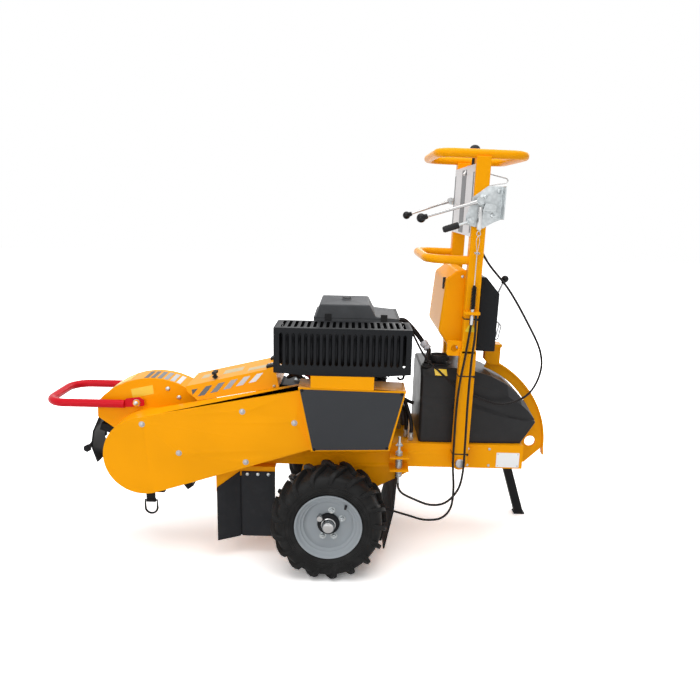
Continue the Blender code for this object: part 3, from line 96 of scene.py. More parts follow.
class Body(str, Enum):
    """The moving groups that a piece can ride on."""

    CHASSIS = "chassis"
    WHEEL_NEAR = "wheel_near"
    WHEEL_FAR = "wheel_far"
    LOCK_NEAR = "lock_near"
    LOCK_FAR = "lock_far"
    CUTTER = "cutter"
    MAST = "mast"
    NEAR_LEVER = "near_lever"
    FAR_LEVER = "far_lever"
    GRIP = "grip"
    LOCK_LEVER = "lock_lever"
    PLUNGER = "plunger"
    STOP = "stop"
    HANDLE = "handle"
    CURTAIN = "curtain"
    RING = "ring"
    LEG = "leg"
    LID = "lid"
    LATCH = "latch"
    CAP = "cap"


class Plane(Enum):
    """The plane that a flat outline is drawn in; the prism's depth runs along the third axis."""

    XZ = "xz"
    XY = "xy"


# ---------------------------------------------------------------- shader graph
class Value:
    """A shader socket that carries a number, with arithmetic that adds Math nodes."""

    def __init__(self, graph: Graph, socket: bpy.types.NodeSocket) -> None:
        """Wrap one output socket of a graph."""
        self.graph = graph
        self.socket = socket

    def _math(self, operation: str, *operands: Value | float) -> Value:
        """Add a Math node.

        Args:
            operation: The Math node's operation.
            operands: Its inputs, in order.

        Returns:
            The node's result.
        """
        return self.graph.node("ShaderNodeMath", {"operation": operation},
                               dict(enumerate(operands)))

    def __add__(self, other: Value | float) -> Value:
        """Sum of two numbers."""
        return self._math("ADD", self, other)

    __radd__ = __add__

    def __sub__(self, other: Value | float) -> Value:
        """Difference of two numbers."""
        return self._math("SUBTRACT", self, other)

    def __rsub__(self, other: Value | float) -> Value:
        """A plain number less this one."""
        return self._math("SUBTRACT", other, self)

    def __mul__(self, other: Value | float) -> Value:
        """Product of two numbers."""
        return self._math("MULTIPLY", self, other)

    __rmul__ = __mul__

    def largest(self, other: Value | float) -> Value:
        """The larger of two numbers."""
        return self._math("MAXIMUM", self, other)

    def wave(self) -> Value:
        """Sine of the number, moved to the range 0 to 1."""
        return self._math("SINE", self) * 0.5 + 0.5

    def ramp(self, low: float, high: float) -> Value:
        """The number read as 0 at low and 1 at high, smoothly between them."""
        settings = {"interpolation_type": "SMOOTHSTEP"}
        return self.graph.node("ShaderNodeMapRange", settings,
                               {"Value": self, "From Min": low, "From Max": high})


class Graph:
    """The node tree of one material."""

    def __init__(self, name: str) -> None:
        """Make an empty material with a Principled shader on its output."""
        self.material = bpy.data.materials.new(name)
        self.material.use_nodes = True
        self.tree = self.material.node_tree
        self.shader = self.tree.nodes["Principled BSDF"]

    def node(self, kind: str, settings: dict[str, object] | None = None,
             inputs: dict[str | int, object] | None = None, out: str | int = 0) -> Value:
        """Add any node.

        Args:
            kind: The node's type.
            settings: Its own settings, set before its sockets.
            inputs: Values or links for its input sockets, by name or place.
            out: The output to return.

        Returns:
            The chosen output.
        """
        made = self.tree.nodes.new(kind)
        for name, value in (settings or {}).items():
            setattr(made, name, value)
        for name, value in (inputs or {}).items():
            self.feed(made.inputs[name], value)
        return Value(self, made.outputs[out])

    def feed(self, socket: bpy.types.NodeSocket, value: object) -> None:
        """Link a Value to a socket, or set the socket to a constant."""
        if isinstance(value, Value):
            self.tree.links.new(value.socket, socket)
        elif isinstance(value, tuple) and len(value) == 3 and socket.type == "RGBA":
            socket.default_value = (*value, 1.0)
        else:
            socket.default_value = value

    def place(self) -> Value:
        """The surface point in the piece's own metres."""
        return self.node("ShaderNodeTexCoord", out="Object")

    def noise(self, scale: float, detail: float = 3.0, stretch: Point = (1, 1, 1)) -> Value:
        """Soft noise of about a given number of blotches a metre."""
        at = self.node("ShaderNodeMapping", None, {"Vector": self.place(), "Scale": tuple(stretch)})
        return self.node("ShaderNodeTexNoise", None,
                         {"Vector": at, "Scale": scale, "Detail": detail, "Roughness": 0.55})

    def axis(self, name: str) -> Value:
        """One coordinate of the surface point."""
        return self.node("ShaderNodeSeparateXYZ", None, {"Vector": self.place()}, name)

    def blend(self, share: Value, start: object, end: object) -> Value:
        """Mix two colours by a share."""
        return self.node("ShaderNodeMix", {"data_type": "RGBA"}, {0: share, 6: start, 7: end}, 2)

    def bump(self, height: Value, depth: float, strength: float = 1.0) -> Value:
        """A normal from a height between 0 and 1 and its real depth in metres."""
        return self.node("ShaderNodeBump", None,
                         {"Height": height, "Distance": depth, "Strength": strength})

    def finish(self, **sockets: object) -> bpy.types.Material:
        """Feed the Principled shader's sockets, named with underscores, and return the material."""
        for name, value in sockets.items():
            self.feed(self.shader.inputs[name.replace("_", " ").title()
                                         .replace("Ior", "IOR")], value)
        return self.material


# ---------------------------------------------------------------- finishes
@dataclass(frozen=True)
class Finish:
    """What every finish has: a name, the record's slot and a base colour."""

    name: str
    slot: str
    colour: Colour

    def build(self) -> bpy.types.Material:
        """Make the material."""
        raise NotImplementedError

    def material(self) -> bpy.types.Material:
        """The material of this finish, made once."""
        return bpy.data.materials.get(self.name) or self.build()


@dataclass(frozen=True)
class PowderCoat(Finish):
    """Powder paint: orange peel, slow shifts of tone and a clear gloss."""

    roughness: float = 0.38
    gloss: float = 0.6
    peel: float = 0.00003

    def build(self) -> bpy.types.Material:
        """Make the material."""
        graph = Graph(self.name)
        tone = graph.noise(3.5, 2.0)
        fine = graph.noise(420.0, 2.0)
        scuff = graph.noise(38.0, 6.0).ramp(0.62, 0.80)
        deep = tuple(c * 0.93 for c in self.colour)
        colour = graph.blend(tone.ramp(0.3, 0.7), deep, self.colour)
        rough = self.roughness + tone * 0.05 + scuff * 0.08
        return graph.finish(base_color=colour, roughness=rough, metallic=0.0, ior=1.16,
                            coat_weight=self.gloss, coat_roughness=0.12, coat_ior=1.12,
                            normal=graph.bump(fine, self.peel))


@dataclass(frozen=True)
class Moulded(Finish):
    """Moulded plastic with a fine spark-eroded grain."""

    roughness: float = 0.5
    grain: float = 900.0
    depth: float = 0.00006

    def build(self) -> bpy.types.Material:
        """Make the material."""
        graph = Graph(self.name)
        grain = graph.noise(self.grain, 2.0)
        haze = graph.noise(9.0, 4.0).ramp(0.35, 0.75)
        pale = tuple(c * 1.5 + 0.006 for c in self.colour)
        return graph.finish(base_color=graph.blend(haze * 0.5, self.colour, pale),
                            roughness=self.roughness + haze * 0.08, metallic=0.0, ior=1.25,
                            normal=graph.bump(grain, self.depth))


@dataclass(frozen=True)
class Rubber(Finish):
    """Black rubber with a dusty bloom and a slight mould texture."""

    bloom: float = 0.35
    roughness: float = 0.62

    def build(self) -> bpy.types.Material:
        """Make the material."""
        graph = Graph(self.name)
        dust = graph.noise(26.0, 7.0).ramp(0.42, 0.78)
        grain = graph.noise(700.0, 3.0)
        pale = tuple(c + 0.035 for c in self.colour)
        return graph.finish(base_color=graph.blend(dust * self.bloom, self.colour, pale),
                            roughness=self.roughness + dust * 0.15, metallic=0.0, ior=1.2,
                            normal=graph.bump(grain, 0.00012))


@dataclass(frozen=True)
class Metal(Finish):
    """Bare or plated metal: spangle, smears and fine marks."""

    roughness: float = 0.25
    spangle: float = 0.1
    scale: float = 60.0
    relief: float = 0.00002

    def build(self) -> bpy.types.Material:
        """Make the material."""
        graph = Graph(self.name)
        flake = graph.node("ShaderNodeTexVoronoi", {"feature": "F1"},
                           {"Vector": graph.place(), "Scale": self.scale}, "Distance")
        smear = graph.noise(45.0, 5.0)
        dark = tuple(c * (1.0 - self.spangle * 2.0) for c in self.colour)
        colour = graph.blend(flake.ramp(0.1, 0.9), self.colour, dark)
        rough = self.roughness + smear * 0.10 + flake * self.spangle
        return graph.finish(base_color=colour, roughness=rough, metallic=1.0,
                            normal=graph.bump(smear, self.relief))


@dataclass(frozen=True)
class CastMetal(Finish):
    """Sand-cast or die-cast metal with a pebbled skin."""

    roughness: float = 0.6
    relief: float = 0.0003

    def build(self) -> bpy.types.Material:
        """Make the material."""
        graph = Graph(self.name)
        pebble = graph.noise(220.0, 5.0)
        stain = graph.noise(14.0, 5.0).ramp(0.4, 0.8)
        dark = tuple(c * 0.6 for c in self.colour)
        return graph.finish(base_color=graph.blend(stain, self.colour, dark),
                            roughness=self.roughness + pebble * 0.1, metallic=0.7,
                            normal=graph.bump(pebble, self.relief))


@dataclass(frozen=True)
class WovenFilm(Finish):
    """Film with a twill weave of small diagonal blocks."""

    pitch: float = 0.0055
    pale: Colour = (0.075, 0.080, 0.088)

    def build(self) -> bpy.types.Material:
        """Make the material."""
        graph = Graph(self.name)
        turns = 2 * math.pi / self.pitch
        rising = ((graph.axis("X") + graph.axis("Z")) * turns).wave()
        falling = ((graph.axis("X") - graph.axis("Z")) * turns).wave()
        cell = (rising * falling).ramp(0.25, 0.75)
        tone = graph.noise(6.0, 3.0).ramp(0.3, 0.7)
        colour = graph.blend(cell * (0.75 + tone * 0.25), self.colour, self.pale)
        return graph.finish(base_color=colour, roughness=0.42 + cell * 0.12, metallic=0.0,
                            ior=1.25, normal=graph.bump(cell, 0.00012))


@dataclass(frozen=True)
class Webbing(Finish):
    """Woven strap: cross ribs along Z and a herringbone of yarns."""

    pitch: float = 0.0032

    def build(self) -> bpy.types.Material:
        """Make the material."""
        graph = Graph(self.name)
        turns = 2 * math.pi / self.pitch
        side = graph.node("ShaderNodeMath", {"operation": "PINGPONG"},
                          {0: graph.axis("X"), 1: 0.006})
        ribs = ((graph.axis("Z") + side) * turns).wave()
        pale = tuple(c + 0.03 for c in self.colour)
        return graph.finish(base_color=graph.blend(ribs, self.colour, pale), roughness=0.85,
                            metallic=0.0, ior=1.2, normal=graph.bump(ribs, 0.0004))


@dataclass(frozen=True)
class Film(Finish):
    """Printed or reflective film: one colour with a faint bead texture."""

    roughness: float = 0.35
    metallic: float = 0.0

    def build(self) -> bpy.types.Material:
        """Make the material."""
        graph = Graph(self.name)
        bead = graph.noise(500.0, 2.0)
        wear = graph.noise(30.0, 5.0).ramp(0.5, 0.9)
        dull = tuple(c * 0.9 for c in self.colour)
        return graph.finish(base_color=graph.blend(wear, self.colour, dull),
                            roughness=self.roughness + wear * 0.15, metallic=self.metallic,
                            coat_weight=0.3, coat_roughness=0.2, normal=graph.bump(bead, 0.00001))


YELLOW = PowderCoat("yellow_powder_coat", "yellow_paint", (0.97, 0.385, 0.0005), gloss=0.35)
RED = PowderCoat("red_powder_coat", "red_paint", (0.62, 0.008, 0.020), roughness=0.34, gloss=0.8)
BLACK_PAINT = PowderCoat("satin_black_paint", "black_steel", (0.016, 0.017, 0.019), 0.42, 0.15)
RIM_PAINT = PowderCoat("silver_rim_paint", "rim_paint", (0.32, 0.35, 0.375), 0.36, 0.35)
BLACK_PLASTIC = Moulded("black_moulding", "black_plastic", (0.018, 0.018, 0.019))
TANK_PLASTIC = Moulded("tank_moulding", "black_plastic", (0.019, 0.019, 0.020),
                       0.36, 650.0, 0.00005)
GLOSS_BLACK = Moulded("gloss_black_knob", "black_plastic", (0.010, 0.010, 0.011),
                      0.12, 200.0, 0.000005)
COVER_PLASTIC = Moulded("cover_moulding", "black_plastic", (0.065, 0.068, 0.073))
PALE_PLASTIC = Moulded("pale_grey_moulding", "black_plastic", (0.55, 0.56, 0.60), 0.4)
CABLE_SHEATH = Moulded("cable_sheath", "black_plastic", (0.012, 0.010, 0.010), 0.38, 500.0, 0.00004)
RED_SHEATH = Moulded("red_sheath", "red_paint", (0.35, 0.012, 0.014), 0.4)
TYRE_RUBBER = Rubber("tyre_rubber", "tyre", (0.013, 0.013, 0.013), 0.3, 0.42)
FLAP_RUBBER = Rubber("flap_rubber", "rubber", (0.022, 0.023, 0.026), 0.2, 0.55)
BELT_RUBBER = Rubber("belt_rubber", "rubber", (0.020, 0.020, 0.020), 0.4, 0.6)
CHROME = Metal("bright_chrome", "chrome", (0.46, 0.46, 0.46), 0.14, 0.02)
ZINC = Metal("zinc_plate_bright", "zinc_plate", (0.52, 0.55, 0.56), 0.32, 0.10, 90.0)
STEEL = Metal("machined_steel", "zinc_plate", (0.42, 0.42, 0.43), 0.32, 0.05, 200.0)
SILVER_SHEET = Metal("silver_sheet_metal", "silver_sheet", (0.62, 0.60, 0.60), 0.34, 0.03, 120.0)
CAST = CastMetal("grey_casting", "cast_metal", (0.16, 0.16, 0.17))
ALLOY = CastMetal("engine_alloy", "alloy", (0.11, 0.11, 0.115), 0.55, 0.0002)
WEAVE = WovenFilm("woven_black_film", "black_plastic", (0.030, 0.032, 0.036))
STRAP = Webbing("strap_webbing", "black_plastic", (0.010, 0.010, 0.011))
YELLOW_FILM = Film("plain_yellow_film", "yellow_paint", (0.90, 0.62, 0.02), 0.4)
STRAW_FILM = Film("plain_straw_film", "yellow_paint", (0.56, 0.42, 0.16), 0.35)
PLATE_FILM = Film("bare_plate", "silver_sheet", (0.70, 0.71, 0.71), 0.3, 0.6)
STRIPES = tuple(Film(f"stripe_{name}", "black_plastic", colour) for name, colour in (
    ("black", (0.012, 0.012, 0.012)), ("charcoal", (0.045, 0.045, 0.050)),
    ("slate", (0.13, 0.135, 0.145)), ("grey", (0.30, 0.31, 0.33)),
    ("silver", (0.52, 0.53, 0.55)), ("pale", (0.74, 0.74, 0.76))))
DARK_BAND = Film("dark_band", "black_plastic", (0.030, 0.032, 0.036), 0.5)
RED_FILM = Film("red_ring", "red_paint", (0.60, 0.02, 0.02), 0.4)
WHITE_FILM = Film("white_tip", "silver_sheet", (0.80, 0.80, 0.80), 0.4)


# ---------------------------------------------------------------- lines and outlines
def arc(x: float, z: float, radius: float, start: float, end: float, steps: int = 12) -> list[Flat]:
    """Points on a circle between two angles in degrees."""
    turns = [math.radians(start + (end - start) * i / steps) for i in range(steps + 1)]
    return [(x + radius * math.cos(t), z + radius * math.sin(t)) for t in turns]


def rounded(corners: Sequence[Point], radii: float | Sequence[float], steps: int = 6,
            closed: bool = True) -> list[Vector]:
    """Round the corners of a line.

    Args:
        corners: The line's corners, flat or in space.
        radii: One radius for all corners, or one for each.
        steps: Points round each corner.
        closed: Whether the last corner joins the first.

    Returns:
        The rounded line's points.
    """
    points = [Vector(c) for c in corners]
    sizes = [radii] * len(points) if isinstance(radii, (int, float)) else list(radii)
    line: list[Vector] = []
    for i, corner in enumerate(points):
        if not closed and i in (0, len(points) - 1) or sizes[i] <= 0:
            line.append(corner)
            continue
        back = (points[i - 1] - corner).normalized()
        ahead = (points[(i + 1) % len(points)] - corner).normalized()
        half = back.angle(ahead) / 2
        reach = sizes[i] / math.tan(half)
        start, end = corner + back * reach, corner + ahead * reach
        middle = corner + (back + ahead).normalized() * sizes[i] / math.sin(half)
        a, b = start - middle, end - middle
        span = a.angle(b)
        for j in range(steps + 1):
            t = j / steps
            line.append(middle + (a * math.sin((1 - t) * span) + b * math.sin(t * span))
                        / math.sin(span))
    return line


def smooth(points: Sequence[Point], steps: int = 6) -> list[Vector]:
    """A Catmull-Rom path through the points."""
    knots = [Vector(p) for p in points]
    knots = [knots[0] * 2 - knots[1]] + knots + [knots[-1] * 2 - knots[-2]]
    path = []
    for a, b, c, d in zip(knots, knots[1:], knots[2:], knots[3:]):
        for i in range(steps):
            t = i / steps
            path.append(0.5 * (2 * b + (c - a) * t + (2 * a - 5 * b + 4 * c - d) * t * t
                               + (3 * b - a - 3 * c + d) * t ** 3))
    return path + [knots[-2]]


def helix(start: Point, end: Point, radius: float, turns: float, steps: int = 14) -> list[Vector]:
    """Points along a coil between two points."""
    a, b = Vector(start), Vector(end)
    way = (b - a).normalized()
    side = way.orthogonal().normalized()
    up = way.cross(side)
    count = int(turns * steps)
    line = []
    for i in range(count + 1):
        turn = 2 * math.pi * i / steps
        line.append(a + (b - a) * i / count
                    + radius * (side * math.cos(turn) + up * math.sin(turn)))
    return line


def turn_to(axis: Point) -> Matrix:
    """The rotation that takes +Z to an axis."""
    return Vector(axis).to_track_quat("Z", "Y").to_matrix().to_4x4()


# ---------------------------------------------------------------- solids
class Shape:
    """A mesh in the making: closed forms are added to it and then finished as one piece."""

    def __init__(self, place: Matrix | None = None) -> None:
        """Start an empty mesh; place is applied to everything at the end."""
        self.mesh = bmesh.new()
        self.place = place or Matrix.Identity(4)

    def box(self, low: Point, high: Point, turn: Matrix | None = None) -> Shape:
        """Add a box between two corners, turned about its own centre."""
        a, b = Vector(low), Vector(high)
        size = Matrix.Diagonal((*(b - a), 1.0))
        matrix = Matrix.Translation((a + b) / 2) @ (turn or Matrix.Identity(4)) @ size
        bmesh.ops.create_cube(self.mesh, size=1.0, matrix=matrix)
        return self

    def rod(self, start: Point, end: Point, radius: float, tip: float | None = None,
            sides: int = 20) -> Shape:
        """Add a cylinder, a cone or, with six sides, a hexagon between two points."""
        a, b = Vector(start), Vector(end)
        bmesh.ops.create_cone(self.mesh, cap_ends=True, segments=sides, radius1=radius,
                              radius2=radius if tip is None else tip, depth=(b - a).length,
                              matrix=Matrix.Translation((a + b) / 2) @ turn_to(b - a))
        return self

    def ball(self, centre: Point, radius: float) -> Shape:
        """Add a ball."""
        bmesh.ops.create_uvsphere(self.mesh, u_segments=24, v_segments=16, radius=radius,
                                  matrix=Matrix.Translation(centre))
        return self

    def lathe(self, profile: Sequence[Flat], centre: Point, axis: Point = (0, 0, 1),
              steps: int = 40) -> Shape:
        """Add a turned form.

        Args:
            profile: (radius, height) points of a closed loop, or of a line from axis to axis.
            centre: Where height 0 lies.
            axis: The direction of the height.
            steps: Faces round the form.

        Returns:
            The shape itself.
        """
        matrix = Matrix.Translation(centre) @ turn_to(axis)
        turns = [2 * math.pi * i / steps for i in range(steps)]
        rings = []
        for radius, height in profile:
            if radius < ON_AXIS:
                rings.append([self.mesh.verts.new(matrix @ Vector((0, 0, height)))])
                continue
            rings.append([self.mesh.verts.new(matrix @ Vector((
                radius * math.cos(t), radius * math.sin(t), height))) for t in turns])
        pairs = list(zip(rings, rings[1:]))
        if len(rings[0]) > 1 and len(rings[-1]) > 1:
            pairs.append((rings[-1], rings[0]))
        for one, two in pairs:
            for i in range(steps):
                j = (i + 1) % steps
                unique = list(dict.fromkeys(ring[k % len(ring)] for ring, k in (
                    (one, i), (one, j), (two, j), (two, i))))
                if len(unique) > 2:
                    self.mesh.faces.new(unique)
        return self

    def dome(self, base: Point, axis: Point, radius: float, height: float) -> Shape:
        """Add a domed bolt head on its washer."""
        curve = [(radius * math.cos(math.radians(t)),
                  height * (0.25 + 0.75 * math.sin(math.radians(t))))
                 for t in range(0, 90, 15)]
        return self.lathe([(0, 0), (radius, 0), *curve, (0, height)], base, axis, 20)

    def nut(self, base: Point, axis: Point, radius: float, height: float,
            stud: float = 0.0) -> Shape:
        """Add a hexagon nut on a washer, with the stud's end showing."""
        way = Vector(axis).normalized()
        foot = Vector(base)
        self.rod(foot, foot + way * height * 0.2, radius * 1.35, sides=24)
        self.rod(foot + way * height * 0.2, foot + way * height, radius, radius * 0.92, sides=6)
        if stud:
            self.rod(foot + way * height, foot + way * (height + stud), radius * 0.5, radius * 0.4)
        return self

    def prism(self, outline: Iterable[Point], low: float, high: float,
              plane: Plane = Plane.XZ) -> Shape:
        """Add a flat outline given a depth along the axis across its plane."""
        order = (0, 2, 1) if plane is Plane.XZ else (0, 1, 2)
        ends = []
        for depth in (low, high):
            ring = []
            for point in outline:
                place = [0.0, 0.0, 0.0]
                for axis, number in zip(order, (point[0], point[1], depth)):
                    place[axis] = number
                ring.append(self.mesh.verts.new(place))
            ends.append(ring)
        self._skin(ends, True)
        return self

    def loft(self, rings: Sequence[Sequence[Point]]) -> Shape:
        """Add a skin through closed rings of as many points each, with both ends filled."""
        self._skin([[self.mesh.verts.new(p) for p in ring] for ring in rings], True)
        return self

    def band(self, rings: Sequence[Sequence[Point]]) -> Shape:
        """Add a closed band: a skin through closed rings whose last joins the first."""
        self._skin([[self.mesh.verts.new(p) for p in ring] for ring in rings], False, True)
        return self

    def tube(self, path: Sequence[Point], radius: float, sides: int = 12,
             closed: bool = False) -> Shape:
        """Add a round tube along a path, with its frame carried smoothly from point to point."""
        points = [Vector(p) for p in path]
        count = len(points)
        turns = [2 * math.pi * k / sides for k in range(sides)]
        normal = None
        rings = []
        for i, point in enumerate(points):
            ahead = points[(i + 1) % count] if closed or i < count - 1 else point
            behind = points[i - 1] if closed or i > 0 else point
            way = (ahead - behind).normalized()
            normal = way.orthogonal() if normal is None else normal - way * normal.dot(way)
            normal.normalize()
            side = way.cross(normal)
            rings.append([self.mesh.verts.new(point + radius * (
                normal * math.cos(t) + side * math.sin(t))) for t in turns])
        self._skin(rings, not closed, closed)
        return self

    def _skin(self, rings: list[list[bmesh.types.BMVert]], capped: bool,
              closed: bool = False) -> None:
        """Join rings of vertices with quads and fill the ends."""
        pairs = list(zip(rings, rings[1:]))
        if closed:
            first, last = rings[0], rings[-1]
            shift = min(range(len(first)), key=lambda k: (first[k].co - last[0].co).length)
            pairs.append((last, first[shift:] + first[:shift]))
        for one, two in pairs:
            for i in range(len(one)):
                j = (i + 1) % len(one)
                self.mesh.faces.new((one[i], one[j], two[j], two[i]))
        if capped:
            self.mesh.faces.new(rings[0])
            self.mesh.faces.new(rings[-1])

    def loose(self, name: str) -> bpy.types.Object:
        """Finish the mesh as an object that rides on nothing yet."""
        bmesh.ops.recalc_face_normals(self.mesh, faces=self.mesh.faces)
        data = bpy.data.meshes.new(name)
        self.mesh.to_mesh(data)
        self.mesh.free()
        data.transform(self.place)
        obj = bpy.data.objects.new(name, data)
        bpy.context.scene.collection.objects.link(obj)
        return obj

    def piece(self, name: str, finish: Finish, body: Body, bevel: float = 0.0, segments: int = 2,
              angle: float = 32.0, replaces: Sequence[str] = ()) -> bpy.types.Object:
        """Finish the mesh as one named piece.

        Args:
            name: The piece's name.
            finish: Its finish.
            body: The body that it rides on.
            bevel: Width of its rounded edges.
            segments: Faces across each rounded edge.
            angle: Edges sharper than this are rounded and stay crisp.
            replaces: The CAD nodes that it stands for.

        Returns:
            The new object.
        """
        obj = self.loose(name)
        dress(obj, finish, bevel, segments, angle)
        if replaces:
            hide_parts(*replaces)
        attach(obj, body.value)
        LOG.info("made %s on %s", name, body.value)
        return obj


def dress(obj: bpy.types.Object, finish: Finish, bevel: float = 0.0, segments: int = 2,
          angle: float = 32.0) -> None:
    """Give a mesh its rounded edges, smooth shading, material and slot."""
    if bevel:
        edge = obj.modifiers.new("rounded_edges", "BEVEL")
        edge.width = bevel
        edge.segments = segments
        edge.limit_method = "ANGLE"
        edge.angle_limit = math.radians(angle)
        edge.miter_outer = "MITER_ARC"
        edge.harden_normals = True
    obj.data.shade_smooth()
    obj.data.set_sharp_from_angle(angle=math.radians(angle + CRISP if bevel else angle))
    obj.data.materials.clear()
    obj.data.materials.append(finish.material())


@dataclass
class Site:
    """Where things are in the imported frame, and ways to work from its CAD nodes."""

    frame: dict
    axle_x: float = field(init=False)
    pivot: Vector = field(init=False)
    lean: Matrix = field(init=False)

    def __post_init__(self) -> None:
        """Read the axle's place and the mast's pivot and lean."""
        low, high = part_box("tyre_near")
        self.axle_x = (low.x + high.x) / 2
        joints = {joint["name"]: joint for joint in self.frame["joints"]}
        self.pivot = Vector(joints["mast_tilt"]["pos_m"])
        up = Vector(joints["lock_plunger_slide"]["axis"])
        self.lean = Matrix.Rotation(math.atan2(up.x, up.z), 4, "Y")

    def at(self, x: float, y: float, z: float) -> Vector:
        """A point given from the wheel axle."""
        return Vector((x + self.axle_x, y, z))

    def machine(self) -> Matrix:
        """The shift from the wheel axle's frame to the part's frame."""
        return Matrix.Translation((self.axle_x, 0, 0))

    def mast(self) -> Matrix:
        """The move from the mast's own upright frame to the part's frame."""
        return Matrix.Translation(Vector((self.pivot.x, 0, self.pivot.z))) @ self.lean

    def eased(self, node: str, finish: Finish, body: Body, bevel: float = 0.0010,
              angle: float = 32.0, merge: bool = True) -> bpy.types.Object:
        """Stand a copy of a CAD node in for it, with its triangles merged and its edges rounded.

        Args:
            node: The CAD node.
            finish: The copy's finish.
            body: The body that it rides on.
            bevel: Width of the rounded edges.
            angle: Edges sharper than this are rounded.
            merge: Whether flat triangles become one face, which a face with many holes can't.

        Returns:
            The copy.
        """
        data = self.frame["nodes"][node].data.copy()
        work = bmesh.new()
        work.from_mesh(data)
        bmesh.ops.remove_doubles(work, verts=work.verts, dist=WELD)
        if merge:
            bmesh.ops.dissolve_limit(work, angle_limit=math.radians(FLAT), verts=work.verts,
                                     edges=work.edges)
        bmesh.ops.recalc_face_normals(work, faces=work.faces)
        work.to_mesh(data)
        work.free()
        obj = bpy.data.objects.new(node + "_finished", data)
        bpy.context.scene.collection.objects.link(obj)
        dress(obj, finish, bevel, 2, angle)
        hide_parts(node)
        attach(obj, body.value)
        LOG.info("eased %s", node)
        return obj


@dataclass
class Assembly:
    """A sub-assembly of the machine, measured from the wheel axle."""

    site: Site

    def shape(self) -> Shape:
        """An empty mesh in the wheel axle's frame."""
        return Shape(self.site.machine())

    def heads(self, name: str, finish: Finish, places: Iterable[Point], axis: Point, size: Flat,
              body: Body = Body.CHASSIS, bevel: float = 0.0) -> None:
        """A row of domed heads as one piece.

        Args:
            name: The piece's name.
            finish: Its finish.
            places: The foot of each head.
            axis: The way the heads face.
            size: Their radius and height.
            body: The body that they ride on.
            bevel: Width of their rounded edges.
        """
        row = self.shape()
        for place in places:
            row.dome(place, axis, *size)
        row.piece(name, finish, body, bevel)

    def runs(self, name: str, finish: Finish, routes: Iterable[Sequence[Point]], radius: float,
             sides: int = 14) -> None:
        """Hoses, leads or bent rod along smooth routes, as one piece on the chassis.

        Args:
            name: The piece's name.
            finish: Its finish.
            routes: The points of each run.
            radius: Half the thickness of each.
            sides: Faces round each.
        """
        bunch = self.shape()
        for route in routes:
            bunch.tube(smooth(route), radius, sides)
        bunch.piece(name, finish, Body.CHASSIS, angle=ROUND_STOCK)


@dataclass
class MastAssembly(Assembly):
    """A sub-assembly that is measured along the mast from its pivot."""

    def shape(self) -> Shape:
        """An empty mesh in the mast's own upright frame."""
        return Shape(self.site.mast())


def coat(frame: dict, finish: Finish, *nodes: str) -> None:
    """Give CAD nodes that stay in view a finish in their own material slots."""
    for name in nodes:
        obj = frame["nodes"][name]
        if not obj.material_slots:
            raise ValueError(f"{name} has no material slot")
        for place in obj.material_slots:
            place.material = finish.material()
        LOG.info("coated %s", name)


